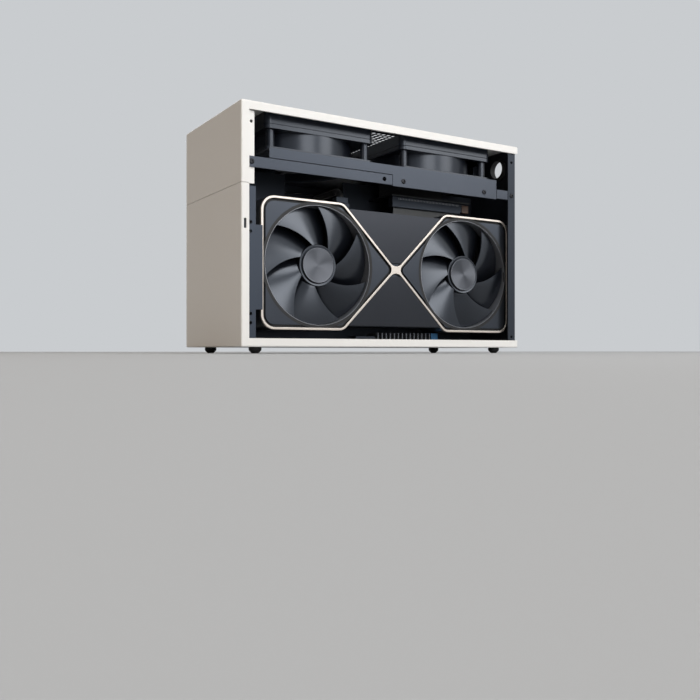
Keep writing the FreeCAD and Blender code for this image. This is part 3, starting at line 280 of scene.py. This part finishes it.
# one cell, repeated in a row or round the Z axis
pattern = bpy.data.node_groups.new("repeat", "GeometryNodeTree")
for name, kind in (("Geometry", "Geometry"), ("Count", "Int"), ("Step", "Vector"), ("Turn", "Float"),
                   ("Material", "Material")):
    pattern.interface.new_socket(name, in_out="INPUT", socket_type="NodeSocket" + kind)
pattern.interface.new_socket("Geometry", in_out="OUTPUT", socket_type="NodeSocketGeometry")
given = add(pattern, "NodeGroupInput").outputs
index = add(pattern, "GeometryNodeInputIndex").outputs[0]
away = add(pattern, "ShaderNodeVectorMath", {0: given["Step"], "Scale": index}, operation="SCALE")
angle = add(pattern, "ShaderNodeMath", {0: given["Turn"], 1: index}, operation="MULTIPLY")
axis = add(pattern, "ShaderNodeCombineXYZ", {"Z": angle.outputs[0]})
facing = add(pattern, "FunctionNodeEulerToRotation", {0: axis.outputs[0]})
spots = add(pattern, "GeometryNodePoints", {"Count": given["Count"], "Position": away.outputs[0]})
copies = add(pattern, "GeometryNodeInstanceOnPoints",
             {"Points": spots.outputs[0], "Instance": given["Geometry"], "Rotation": facing.outputs[0]})
real = add(pattern, "GeometryNodeRealizeInstances", {0: copies.outputs[0]})
coated = add(pattern, "GeometryNodeSetMaterial", {"Geometry": real.outputs[0], "Material": given["Material"]})
add(pattern, "NodeGroupOutput", {0: coated.outputs[0]})


def repeated(mesh, material, count, step=(0, 0, 0), turn=0.0):
    """Copies of a mesh in a row of a step in mm, or turned about Z, as one plain mesh."""
    holder = bpy.data.objects.new("blank", mesh)
    scene.collection.objects.link(holder)
    grow = holder.modifiers.new("repeat", "NODES")
    grow.node_group = pattern
    wanted = {"Count": count, "Step": [s / 1000 for s in step], "Turn": turn, "Material": material}
    for item in pattern.interface.items_tree:
        if item.in_out == "INPUT" and item.name in wanted:
            grow[item.identifier] = wanted[item.name]
    holder.update_tag()
    bpy.context.view_layer.update()
    graph = bpy.context.evaluated_depsgraph_get()
    done = bpy.data.meshes.new_from_object(holder.evaluated_get(graph))
    bpy.data.objects.remove(holder)
    return done


def punched(length, width, thick, ends, sides, pitch, hole):
    """Sheet in the XY plane about the origin: round holes in a square field, plain ends and sides."""
    columns = int((length - 2 * ends) // pitch)
    rows = int((width - 2 * sides) // pitch)
    a = pitch / 2
    rim = [(a, 0), (a, a), (0, a), (-a, a), (-a, 0), (-a, -a), (0, -a), (a, -a)]
    turns = [k * math.pi / 4 for k in range(8)]
    edge = [(hole / 2 * math.cos(t), hole / 2 * math.sin(t)) for t in turns]
    points = [(x, y, z) for z in (thick / 2, -thick / 2) for ring in (rim, edge) for x, y in ring]
    faces = []
    for k in range(8):
        n = (k + 1) % 8
        faces += [(k, n, 8 + n, 8 + k), (16 + n, 16 + k, 24 + k, 24 + n), (8 + k, 8 + n, 24 + n, 24 + k)]
    row = repeated(shape(points, faces), white_coat, columns, (pitch, 0, 0))
    field = repeated(row, white_coat, rows, (0, pitch, 0))
    x, y, z = columns * a, rows * a, thick / 2
    border = [slab((-length / 2, -width / 2, -z), (length / 2, -y, z)),
              slab((-length / 2, y, -z), (length / 2, width / 2, z)),
              slab((-length / 2, -y, -z), (-x, y, z)),
              slab((x, -y, -z), (length / 2, y, z))]
    return joined(shifted(field, a - x, a - y), *border)


def settled(mesh, node, upright=False):
    """Put a sheet made about the origin in the middle of its node's box."""
    low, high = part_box(node)
    if upright:
        mesh.transform(Matrix.Rotation(math.radians(90), 4, "X"))
    mesh.transform(Matrix.Translation((Vector(low) + Vector(high)) / 2))
    return mesh


# the mirror light of dark coats and plastics has a cool cast
COOL = srgb("DCEAFF")
# the black coat gives the eye a dull dark sheet with a soft sheen
black_coat, tree, shader = finish("black_powder_coat", "181A1F", 0.48)
shader.inputs["Specular Tint"].default_value = COOL
grained(tree, shader, grain=0.7, height=0.03, spread=0.05)
for node in ("roof_vent", "floor_vent"):
    low, high = corners(node)
    field = punched(high[0] - low[0], high[1] - low[1], 0.3, ends=8, sides=3, pitch=6.1, hole=4.5)
    piece("sheet_" + node, settled(field, node), black_coat, "case", "black_steel", node)
low, high = corners("side_panel")
field = punched(high[0] - low[0], high[2] - low[2], high[1] - low[1], ends=40, sides=52, pitch=6.4, hole=4.6)
piece("closed_side_panel", settled(field, "side_panel", upright=True), white_coat, "panel", "white_paint",
      "side_panel")


# Feet: four soft pads under the floor's corners, on which the case stands.
# They are moulded black rubber, glued on.
# rubber gives the eye a dull dark grey with a worn bloom
rubber, tree, shader = finish("foot_rubber", "151515", 0.72)
grained(tree, shader, grain=0.5, height=0.02, spread=0.06)
piece("feet", eased("rubber_feet", 0.8), rubber, "case", "rubber", "rubber_feet")


# Side port: a small connector behind the slot in the open side's rim.
# It is moulded in black plastic and sits in the sheet.
# moulded plastic gives the eye a deep black with a soft, faintly blue shine; the same black is painted shade
# on the flat patches for connector mouths and bracket openings
moulded_black_and_shade, tree, shader = finish("moulded_black", "13151A", 0.46)
shader.inputs["Specular Tint"].default_value = COOL
grained(tree, shader, grain=0.6, height=0.02, spread=0.05)
piece("rim_port", eased("side_port", 0.2), moulded_black_and_shade, "case", "moulded_black", "side_port")


# Back wall and its fittings: black coated sheet with folded columns, and a strip of gauze inside its
# row of small slots. A soft bushing lines the cable hole, the turned power button slides in its
# barrel, and the moulded mains inlet is set into the sheet.
piece("back_wall", eased("rear_panel", 0.25), black_coat, "case", "black_steel", "rear_panel")
SHEET, GAUZE = 1.5, 0.6
wall_out = corners("rear_panel")[1][0]
wall_in = wall_out - SHEET
gauze = slab((wall_in - GAUZE, -23, 184), (wall_in, 21, 192.5))
piece("slot_gauze", gauze, moulded_black_and_shade, "case", "moulded_black")
piece("bushing", eased("port_bushing", 0.5), rubber, "case", "rubber", "port_bushing")
piece("mains_inlet", eased("power_inlet", 0.4), moulded_black_and_shade, "case", "moulded_black", "power_inlet")
# turned steel gives the eye a bright, slightly streaked grey
turned_metal, tree, shader = finish("turned_steel", "B4B6BA", 0.3, 1.0)
grained(tree, shader, grain=0.25, height=0.01, spread=0.05)
piece("button_ring", eased("button_barrel", 0.4), turned_metal, "case", "button_metal", "button_barrel")
# the cap's back, with its round edge, is a hair short, so that it stops before the floor of its bore
CAP_ROUND, CAP_SHORT = 0.6, 0.2
cap_face = eased("button_cap", 0.5)
cap_back = min(v.co.x for v in cap_face.vertices)
for v in cap_face.vertices:
    if v.co.x < cap_back + CAP_ROUND / 1000:
        v.co.x += CAP_SHORT / 1000
piece("button_face", cap_face, turned_metal, "button", "button_metal", "button_cap")


# Spine, posts and card rest: bent steel sheets inside the shell. The spine parts the card from the
# board and is coated black; posts and rest are screwed to the shell and have a bluish satin coat.
# the satin coat gives the eye a dark blue grey that brightens at a slant
blue_coat, tree, shader = finish("blue_grey_coat", "2B3039", 0.4)
shader.inputs["Specular Tint"].default_value = COOL
grained(tree, shader, grain=0.7, height=0.02, spread=0.05)
piece("spine", eased("spine_plate", 0.2), black_coat, "case", "black_steel", "spine_plate")
for node in ("front_post_open", "front_post_board", "card_rest"):
    piece("bent_" + node, eased(node, 0.25), blue_coat, "case", "black_steel", node)


# Rails and fan tray: flat steel bars along the open edges, and the tray whose stepped skirts hang
# between them. All are bent or cut from sheet, coated grey and screwed together.
# the grey coat gives the eye a smooth satin band of light along each bar
grey_coat, tree, shader = finish("grey_satin_coat", "35383F", 0.36)
shader.inputs["Specular Tint"].default_value = COOL
grained(tree, shader, grain=0.6, height=0.02, spread=0.05)
for node in ("front_rail_open", "rear_rail_open", "front_rail_board", "rear_rail_board", "fan_tray"):
    piece("bar_" + node, eased(node, 0.3), grey_coat, "case", "grey_steel", node)


# Screws and studs: low round heads with a hexagon socket on the rails and in the back wall, and the
# studs on which the panel snaps. They are turned steel, blackened.
def spun(profile, sides=48):
    """Mesh turned about Z from radius and height pairs in mm; UV keeps the place across the axis."""
    turns = [2 * math.pi * k / sides for k in range(sides)]
    points = [(r * math.cos(t), r * math.sin(t), z) for r, z in profile for t in turns]
    faces = []
    for j in range(len(profile) - 1):
        for k in range(sides):
            n = (k + 1) % sides
            faces.append((j * sides + k, j * sides + n, (j + 1) * sides + n, (j + 1) * sides + k))
    made = shape(points, faces)
    work = bmesh.new()
    work.from_mesh(made)
    bmesh.ops.remove_doubles(work, verts=work.verts, dist=1e-7)
    bmesh.ops.recalc_face_normals(work, faces=work.faces)
    place = work.loops.layers.uv.new("across")
    for face in work.faces:
        for loop in face.loops:
            loop[place].uv = (loop.vert.co.x * 1000, loop.vert.co.y * 1000)
    work.to_mesh(made)
    work.free()
    return made


def turned(mesh, matrix):
    """Copy of a mesh, turned by a matrix."""
    copy = mesh.copy()
    copy.transform(matrix)
    return copy


# what is spun about Z is turned to face the open side or the back
TO_OPEN = Matrix.Rotation(math.radians(90), 4, "X")
TO_BACK = Matrix.Rotation(math.radians(90), 4, "Y")
# blackened steel gives the eye a dark, oily glint
screw_steel, tree, shader = finish("blackened_steel", "2C2D30", 0.34, 0.8)
grained(tree, shader, grain=0.3, height=0.01, spread=0.05)
HEAD, SOCKET, CROWN = 2.55, 1.3, 0.98
head = joined(spun([(HEAD, 0), (HEAD, 0.35), (2.2, 0.8), (1.6, CROWN), (SOCKET, CROWN)], 24),
              spun([(SOCKET, CROWN), (1.2, 0.85), (1.15, 0.15), (0, 0.15)], 6))
low, high = corners("rail_screws")
rail_z = (low[2] + high[2]) / 2
open_head = turned(head, TO_OPEN)
heads = [shifted(open_head, x, high[1], rail_z) for x in (-155.75, 13.05, 120.2, 160)]
piece("rail_screw_heads", joined(*heads), screw_steel, "case", "screw_steel", "rail_screws")
COLUMN, SUNK = 63.5, 0.05
back_head = turned(head, TO_BACK)
heads = [shifted(back_head, wall_out - SUNK, y, z) for y in (-COLUMN, COLUMN) for z in (14, 110, 184)]
heads.append(shifted(back_head, wall_out - SUNK, -41, 152))
piece("back_wall_screw_heads", joined(*heads), screw_steel, "case", "screw_steel")
piece("snap_studs", eased("panel_studs", 0.3), screw_steel, "panel", "screw_steel", "panel_studs")


# Roof fans: two fans on the tray, each an open-cornered frame with a seven-blade wheel below a square
# spacer. All are moulded in dark grey plastic, and the frames are screwed on through their corners.
# satin plastic gives the eye near black with pale streaks where the lamps strike
fan_grey, tree, shader = finish("satin_fan_plastic", "13161D", 0.34)
shader.inputs["Specular IOR Level"].default_value = 0.36
shader.inputs["Specular Tint"].default_value = COOL
grained(tree, shader, grain=0.5, height=0.012, spread=0.05)
shader.inputs["Coat Weight"].default_value = 0.4
shader.inputs["Coat Roughness"].default_value = 0.25
for name in ("front", "rear"):
    node = "fan_frame_" + name
    piece(node + "_moulding", eased(node, 0.5), fan_grey, "case", "fan_grey", node)
    node = "fan_wheel_" + name
    piece(node + "_moulding", eased(node, 0.4), fan_grey, name + "_fan", "fan_grey", node)
piece("fan_spacer_squares", eased("fan_spacers", 0.5), fan_grey, "case", "fan_grey", "fan_spacers")


# Graphics card's shroud: a cast and painted housing with two fan wells, a thin lip pressed into each well,
# drawn paler than the housing as a painted highlight, and a groove inside the trim whose walls are lined
# in dull black as painted shade. The back plate, which closes the card behind, has the same paint.
# gunmetal paint gives the eye a dark metal with a soft, wide glow, a shade deeper on its raised faces
FACE_TONE, SUNK_TONE = "303237", "3D4148"
SUNK_FACE = -61.35
gunmetal, tree, shader = finish("gunmetal_paint", SUNK_TONE, 0.3, 0.8)
grained(tree, shader, grain=0.35, height=0.012, spread=0.04)
where = add(tree, "ShaderNodeTexCoord")
parts = add(tree, "ShaderNodeSeparateXYZ", {0: where.outputs["Object"]})
sunk = add(tree, "ShaderNodeMath", {0: parts.outputs[1], 1: SUNK_FACE / 1000}, operation="GREATER_THAN")
tone = add(tree, "ShaderNodeMix", {0: sunk.outputs[0], 6: srgb(FACE_TONE), 7: srgb(SUNK_TONE)},
           data_type="RGBA")
tree.links.new(tone.outputs[2], shader.inputs["Base Color"])
piece("card_housing", eased("card_shroud", 0.5), gunmetal, "case", "card_gunmetal", "card_shroud")
piece("card_rear_plate", eased("card_backplate", 0.4), gunmetal, "case", "card_gunmetal", "card_backplate")
low, high = corners("card_shroud")
card_x = (low[0] + high[0]) / 2
card_z = (low[2] + high[2]) / 2
half_l = (high[0] - low[0]) / 2
half_h = (high[2] - low[2]) / 2
hubs = {}
for name in ("front", "rear"):
    low, high = corners("card_cap_" + name)
    hubs[name] = (low[0] + high[0]) / 2
LIP_IN, LIP_OUT, LIP_FOOT, LIP_SIDE, LIP_TOP = 57.5, 58.35, 1, 16.6, 17.0
LIP_BASE = -44
lip = turned(spun([(LIP_IN, LIP_FOOT), (LIP_IN, LIP_SIDE), (57.7, LIP_TOP), (58.1, LIP_TOP),
                   (LIP_OUT, LIP_SIDE), (LIP_OUT, LIP_FOOT), (LIP_IN, LIP_FOOT)], 96), TO_OPEN)
lips = [shifted(lip, x, LIP_BASE, card_z) for x in hubs.values()]
# the lip gives the eye a thin pale ring with soft ends; its tone, paler than the housing's paint, is a
# painted highlight of the well's edge
lip_metal_and_highlight, tree, shader = finish("satin_lip_metal_and_highlight", "7E8085", 0.4, 0.7)
grained(tree, shader, grain=0.3, height=0.005, spread=0.05)
piece("fan_well_lips", joined(*lips), lip_metal_and_highlight, "case", "card_gunmetal")
TRIM, GROOVE, CORNER, BEND, PLATE = 2.4, 2.4, 14, 12, 6.5


def arc(centre, radius, start, stop, count=10):
    """Points on an arc, angles in degrees."""
    turns = [math.radians(start + (stop - start) * k / count) for k in range(count + 1)]
    return [(centre[0] + radius * math.cos(t), centre[1] + radius * math.sin(t)) for t in turns]


def half_face(inset, tip):
    """Right-hand house outline of the card's face, set in, anticlockwise from the lower corner."""
    turn, bend, knee = CORNER - inset, BEND - inset, tip - math.sqrt(2) * inset
    upper = arc((half_l - CORNER, half_h - CORNER), turn, 0, 90)
    upper += arc((half_h + math.tan(math.pi / 8) * BEND, half_h - BEND), bend, 90, 135)
    upper += arc((tip + knee, 0), math.sqrt(2) * knee, 135, 180)
    return upper + [(x, -y) for x, y in reversed(upper[:-1])]


# the lining is painted shade: a dull black on the groove's walls, so that the trim stands out as a line
groove_painted_shade, tree, shader = finish("groove_black_painted_shade", "08080A", 0.6)
grained(tree, shader, grain=0.5, height=0.01, spread=0.06)
outer = half_face(TRIM + 0.05, PLATE + 1)
inner = half_face(TRIM + GROOVE - 0.02, PLATE + GROOVE + 1)
TRIM_SIDE, GROOVE_BED, FACE_SIDE = -61.7, -59.3, -60.9
lines = ((outer, TRIM_SIDE), (outer, GROOVE_BED), (inner, GROOVE_BED), (inner, FACE_SIDE))
n = len(outer)
faces = [(m * n + k, m * n + (k + 1) % n, (m + 1) * n + (k + 1) % n, (m + 1) * n + k)
         for m in range(len(lines) - 1) for k in range(n)]
bands = []
for sign in (-1, 1):
    points = [(card_x + sign * x, y, card_z + z) for line, y in lines for x, z in line]
    bands.append(shape(points, faces if sign < 0 else [tuple(reversed(f)) for f in faces]))
# a flat dull black ring on the face round each well is painted shade of the gap at the well's edge
RING_IN, RING_OUT, RING_FACE = 58.36, 61.2, -61.26
ring = turned(spun([(RING_IN, 0), (RING_OUT, 0)], 96), TO_OPEN)
bands += [shifted(ring, x, RING_FACE, card_z) for x in hubs.values()]
piece("trim_grooves_painted_shade", joined(*bands), groove_painted_shade, "case", "card_gunmetal")


# Graphics card's trim: a bright line round both halves of the face, which crosses on a small plate.
# It is pressed light metal, lightly brushed and tinted, and snaps into the shroud.
# champagne metal gives the eye a warm, almost white line that dims at its ends
champagne, tree, shader = finish("champagne_metal", "CCC3BA", 0.34, 0.85)
grained(tree, shader, grain=0.5, height=0.004, spread=0.06)
piece("card_trim_line", eased("card_trim", 0.45), champagne, "case", "card_silver", "card_trim")


# Graphics card's wheels and caps: seven wide sickle blades on a hub, moulded in one with it, whose
# trailing edge stands towards the viewer. On each hub sits a thin cap of spun metal.
# satin plastic gives the eye black blades with one soft pale sweep each
wheel_grey, tree, shader = finish("satin_wheel_plastic", "0C0E13", 0.29)
grained(tree, shader, grain=0.4, height=0.01, spread=0.03)
shader.inputs["Specular Tint"].default_value = COOL
shader.inputs["Coat Weight"].default_value = 0.5
shader.inputs["Coat Roughness"].default_value = 0.22
# spun metal gives the eye fine turning rings, which stretch a highlight into a fan
spun_metal, tree, shader = finish("spun_dark_metal", "5A5C61", 0.3, 1.0)
across = add(tree, "ShaderNodeUVMap", uv_map="across")
parts = add(tree, "ShaderNodeSeparateXYZ", {0: across.outputs[0]})
back = add(tree, "ShaderNodeMath", {0: parts.outputs[1], 1: -1.0}, operation="MULTIPLY")
along = add(tree, "ShaderNodeCombineXYZ", {"X": back.outputs[0], "Z": parts.outputs[0]})
ringed = add(tree, "ShaderNodeVectorMath", {0: along.outputs[0]}, operation="NORMALIZE")
tree.links.new(ringed.outputs[0], shader.inputs["Tangent"])
shader.inputs["Anisotropic"].default_value = 0.85
HUB, TIP, DEPTH = 20.7, 56.9, 15.0
BLADES, THICK = 7, 1.2
# in degrees: the trailing edge at the hub, how far it sweeps to the tip, and a blade's width
START, SWEEP, WIDTH = 4, 34, 58
# in mm: the leading edge's height, and the straight and the cambered part of the rise from it
FOOT, RISE, CAMBER = 0.8, 1.6, 11.2
ROWS, COLUMNS = 20, 16
grid = []
for i in range(ROWS + 1):
    r = HUB - 1 + (TIP - HUB + 1) * i / ROWS
    reach = max(0.0, (r - HUB) / (TIP - HUB))
    trailing = START + SWEEP * reach ** 0.75
    for j in range(COLUMNS + 1):
        v = j / COLUMNS
        a = math.radians(trailing - WIDTH + WIDTH * v)
        grid.append((r * math.cos(a), r * math.sin(a), FOOT + RISE * v + CAMBER * (1 - (1 - v) ** 2)))
line = COLUMNS + 1
faces = [(i * line + j, (i + 1) * line + j, (i + 1) * line + j + 1, i * line + j + 1)
         for i in range(ROWS) for j in range(COLUMNS)]
blade = baked(shape(grid, faces), "SOLIDIFY", thickness=THICK / 1000, offset=0.0)
blades = repeated(blade, wheel_grey, BLADES, turn=2 * math.pi / BLADES)
SEAT, SEAT_DROP = 18.0, 0.9
hub = spun([(0, 0), (HUB, 0), (HUB, DEPTH - 1.6), (HUB - 0.5, DEPTH - 0.5), (HUB - 1.2, DEPTH - 0.2),
            (SEAT, DEPTH - SEAT_DROP), (0, DEPTH - SEAT_DROP)], 64)
CAP, CAP_FOOT = 17.4, -0.3
cap = spun([(0, CAP_FOOT), (CAP, CAP_FOOT), (CAP, 0.5), (17.0, 0.95), (16.4, 1.05), (15.9, 0.8), (0, 0.55)],
           96)
top = turned(cap, TO_OPEN)
for name, first in (("front", 0.0), ("rear", -27.5)):
    start = corners("card_wheel_" + name)[1][1]
    wheel = turned(joined(hub, blades), TO_OPEN @ Matrix.Rotation(math.radians(first), 4, "Z"))
    piece("sickle_wheel_" + name, shifted(wheel, hubs[name], start, card_z), wheel_grey,
          "card_fan_" + name, "wheel_grey", "card_wheel_" + name)
    piece("spun_cap_" + name, shifted(top, hubs[name], start - DEPTH, card_z), spun_metal,
          "card_fan_" + name, "spun_cap", "card_cap_" + name)


# Graphics card's fins, board edge and bracket: a stack of thin blackened fins behind the wheels, the
# edge of the card's board, and the plated steel bracket that is screwed to the back wall.
# blackened fins give the eye a plain dark ground behind the blades
fin_black, tree, shader = finish("blackened_fins", "060607", 0.7)
grained(tree, shader, grain=0.4, height=0.01, spread=0.08)
piece("card_fin_stack", eased("card_fins", 0.1), fin_black, "case", "fin_black", "card_fins")
# solder mask gives the eye a black board with faint tracks, drawn as coarse as they need to show:
# a unit in mm of the track pattern, whose cells are half as long and a quarter as high
TRACKS = 8.333
board_black, tree, shader = finish("board_solder_mask", "101315", 0.42)
where = add(tree, "ShaderNodeTexCoord")
tracks = add(tree, "ShaderNodeTexBrick",
             {"Vector": where.outputs["Object"], "Scale": 1000 / TRACKS, "Color1": srgb("0E1113"),
              "Color2": srgb("14181A"), "Mortar": srgb("1E2326"), "Mortar Size": 0.012})
tree.links.new(tracks.outputs["Color"], shader.inputs["Base Color"])
# plated steel gives the eye a bright, slightly clouded grey
plated, tree, shader = finish("plated_steel", "A9ABAE", 0.32, 1.0)
grained(tree, shader, grain=0.3, height=0.01, spread=0.06)
piece("card_edge_board", eased("card_board", 0.1), board_black, "case", "board_black", "card_board")
piece("card_plate_bracket", eased("card_bracket", 0.2), plated, "case", "plated_steel", "card_bracket")
x = corners("card_bracket")[1][0]
# the sockets' mouths and the rows of vent slots are flat black blocks and strips: painted shade of the
# openings
HALF_SOCKET = 7.2
sockets = [slab((x - 2.3, -35.2, z - HALF_SOCKET), (x - 0.2, -28.4, z + HALF_SOCKET))
           for z in (49.2, 68.9, 88.7, 108.8)]
slot = slab((x - 0.3, -56.5, 36), (x + 0.06, -39, 38.2))
slots = repeated(slot, moulded_black_and_shade, 12, (0, 0, 8.9))
opening_shade_patches = joined(bevelled(joined(*sockets), 0.4), slots)
piece("card_bracket_openings_painted_shade", opening_shade_patches, moulded_black_and_shade, "case", "moulded_black")


# Riser: the upturned slot that holds the card's edge, with its latch and a row of contact marks, on a
# small board. A flat ribbon runs from it to a plug in the main board. Body and plug are moulded.
# the sheath gives the eye a soft black with a faint leathery grain
lead_black, tree, shader = finish("lead_sheath", "121214", 0.5)
grained(tree, shader, grain=0.8, height=0.05, spread=0.06)
piece("riser_slot_body", eased("riser_slot", 0.3), moulded_black_and_shade, "case", "moulded_black", "riser_slot")
piece("riser_small_board", eased("riser_board", 0.1), board_black, "case", "board_black", "riser_board")
piece("riser_flat_ribbon", eased("riser_ribbon", 0.2), lead_black, "case", "lead_black", "riser_ribbon")
piece("riser_board_plug", eased("riser_plug", 0.4), moulded_black_and_shade, "case", "moulded_black", "riser_plug")
# tin gives the eye a row of pale ticks
tin, tree, shader = finish("tinned_contacts", "9FA1A4", 0.35, 1.0)
grained(tree, shader, grain=0.2, height=0.005, spread=0.05)
low, high = corners("riser_slot")
tick = slab((-0.35, -0.25, -0.9), (0.35, 0.05, 0.9))
ticks = repeated(tick, tin, 41, (2.0, 0, 0))
# nylon gives the eye a dull brown block at the slot's end
latch_brown, tree, shader = finish("latch_nylon", "4A3426", 0.45)
grained(tree, shader, grain=0.5, height=0.01, spread=0.05)
latch = slab((high[0] - 8, low[1] + 0.2, low[2] + 1.4), (high[0] + 1.5, high[1], high[2] - 1))
piece("riser_latch", bevelled(latch, 0.5), latch_brown, "case", "moulded_black")
ticks = shifted(ticks, low[0] + 8, low[1], high[2] - 2.0)
piece("riser_pin_marks", ticks, tin, "case", "moulded_black")


# Main board side: the board on brass standoffs, with two memory modules, a moulded connector cover
# and plated connectors at the back wall. Coils stand beside the cooler, tall round capacitors over
# it and a finned chip cover below, all soldered or clipped to the board.
# dull cast aluminium scatters the light and gives the eye an even mid grey
drive_metal, tree, shader = finish("drive_aluminium", "5E6167", 0.5, 0.6)
grained(tree, shader, grain=0.3, height=0.01, spread=0.06)
piece("main_circuit_board", eased("main_board", 0.1), board_black, "case", "board_black", "main_board")
# turned brass gives the eye a small yellow glint under the board
brass, tree, shader = finish("standoff_brass", "B7964E", 0.35, 1.0)
grained(tree, shader, grain=0.25, height=0.01, spread=0.06)
piece("brass_standoffs", eased("board_standoffs", 0.2), brass, "case", "standoff_brass", "board_standoffs")
# the anodised spreader gives the eye a dark metal with a satin edge
spreader, tree, shader = finish("memory_spreader", "2B2C30", 0.38, 0.7)
grained(tree, shader, grain=0.3, height=0.01, spread=0.05)
piece("memory_pair", eased("memory_modules", 0.5), spreader, "case", "memory_metal", "memory_modules")
piece("connector_hood", eased("connector_cover", 0.6), moulded_black_and_shade, "case", "moulded_black", "connector_cover")
piece("rear_connector_faces", eased("rear_connectors", 0.3), plated, "case", "plated_steel",
      "rear_connectors")
face = corners("main_board")[1][1]
coil = bevelled(slab((126.4, face - 0.2, 70), (133, face + 4.6, 76.6)), 0.8)
coils = repeated(coil, spreader, 9, (0, 0, 8.6))
CAN, CAN_TOP = 2.6, 6.0
can = spun([(0, 0), (CAN, 0), (CAN, 5.6), (2.3, 6.2), (2.0, CAN_TOP), (0, CAN_TOP)], 24)
can = turned(can, Matrix.Rotation(math.radians(-90), 4, "X"))
cans = repeated(shifted(can, 36, face - 0.1, 160), spreader, 11, (7.6, 0, 0))
fin = bevelled(slab((46, face - 0.1, 26), (48, face + 9, 58)), 0.3)
fins = joined(repeated(fin, spreader, 12, (3.4, 0, 0)), slab((45, face - 0.1, 25), (87, face + 2.6, 59)))
piece("board_coils", joined(coils, fins), spreader, "case", "memory_metal")
piece("board_capacitors", cans, drive_metal, "case", "drive_metal")
# each connector face has its mouths drawn as flat black patches, painted shade of the openings, and each
# mouth a grey tongue; every third face is a low one
CONNECTORS, FIRST, PITCH = 7, 8.43, 21.86
TALL_MOUTHS = ((2.5, 14.5), (18.2, 22.4), (25.6, 29.8))
LOW_MOUTHS = ((2.2, 6.2), (8.6, 12.6))
MOUTH, TONGUE, HALF_THICK = 6.4, 5.2, 0.6
low, high = corners("rear_connectors")
x, y = high[0], low[1]
mouth_shade_patches, tongues = [], []
for k in range(CONNECTORS):
    middle = low[2] + FIRST + PITCH * k
    for a, b in LOW_MOUTHS if k % 3 == 2 else TALL_MOUTHS:
        mouth_shade_patches.append(slab((x - 0.5, y + a, middle - MOUTH), (x + 0.12, y + b, middle + MOUTH)))
        centre = y + (a + b) / 2
        tongues.append(slab((x - 0.2, centre - HALF_THICK, middle - TONGUE),
                            (x + 0.3, centre + HALF_THICK, middle + TONGUE)))
piece("rear_connector_mouths_painted_shade", bevelled(joined(*mouth_shade_patches), 0.2), moulded_black_and_shade, "case", "moulded_black")
piece("rear_connector_tongues", bevelled(joined(*tongues), 0.15), drive_metal, "case", "drive_metal")


# Processor cooler: a metal block on the processor with a stack of thin fins, and a flat moulded fan
# screwed on top. Block and fins are bare aluminium.
# bare aluminium gives the eye bright thin lines between dark gaps
bare_fin, tree, shader = finish("bare_aluminium", "B9BABD", 0.36, 1.0)
grained(tree, shader, grain=0.25, height=0.01, spread=0.06)
piece("cooler_fin_stack", eased("cooler_fins", 0.15), bare_fin, "case", "fin_metal", "cooler_fins")
piece("cooler_block", eased("cooler_base", 0.5), bare_fin, "case", "fin_metal", "cooler_base")
piece("cooler_fan_moulding", eased("cooler_fan_frame", 0.4), moulded_black_and_shade, "case", "moulded_black",
      "cooler_fan_frame")
piece("cooler_fan_wheel", eased("cooler_wheel", 0.3), moulded_black_and_shade, "cooler_fan", "moulded_black", "cooler_wheel")


# Power unit: a folded steel box on the floor sheet, coated black, with a moulded fan wheel behind a
# guard of bent wire.
piece("power_box", eased("power_unit", 0.5), black_coat, "case", "black_steel", "power_unit")
piece("power_fan_wheel", eased("power_wheel", 0.3), moulded_black_and_shade, "power_fan", "moulded_black", "power_wheel")
piece("power_wire_guard", eased("power_guard", 0.4), black_coat, "case", "black_steel", "power_guard")


# Leads: the mains lead, the board's supply and the card's supply, plain and sheathed in black, bent
# round inside the case. The card's ends in a moulded plug, a stepped body with a small catch.
for node in ("mains_lead", "card_lead", "board_lead"):
    piece("sheathed_" + node, eased(node, 0.2), lead_black, "case", "lead_black", node, sharp=70)
low, high = corners("card_lead")
PLUG_INSET = 3.2
x, y = (low[0] + high[0]) / 2, low[1] + PLUG_INSET
PLUG_FOOT, PLUG_STEP, PLUG_TOP = 143.4, 153, 159
plug = [slab((x - 8, y - 5, PLUG_FOOT), (x + 8, y + 5, PLUG_STEP)),
        slab((x - 7, y - 4.2, PLUG_STEP), (x + 7, y + 4.2, PLUG_TOP)),
        slab((x - 2.5, y - 6.4, 144.5), (x + 2.5, y - 5, 151))]
piece("card_supply_plug", bevelled(joined(*plug), 0.5), moulded_black_and_shade, "case", "moulded_black")


# Storage module: a small board on the floor sheet under a finned cover of cast light metal, with a
# blue end cap and the moulded socket that it is pushed into.
piece("drive_small_board", eased("drive_board", 0.1), board_black, "case", "board_black", "drive_board")
piece("drive_finned_cover", eased("drive_cooler", 0.15), drive_metal, "case", "drive_metal", "drive_cooler")
# anodising gives the eye a deep blue with a metal sheen
blue, tree, shader = finish("blue_anodised", "2E5F86", 0.42, 0.5)
grained(tree, shader, grain=0.3, height=0.01, spread=0.05)
low, high = corners("drive_cooler")
end = slab((high[0] - 9, low[1] - 0.4, 12.6), (high[0] - 0.2, high[1], high[2] + 0.3))
piece("drive_blue_end", bevelled(end, 0.4), blue, "case", "drive_metal")
socket = slab((low[0] - 26, low[1] + 1, 9.2), (low[0] - 2.2, low[1] + 15, 17.5))
piece("drive_socket", bevelled(socket, 0.6), moulded_black_and_shade, "case", "moulded_black")
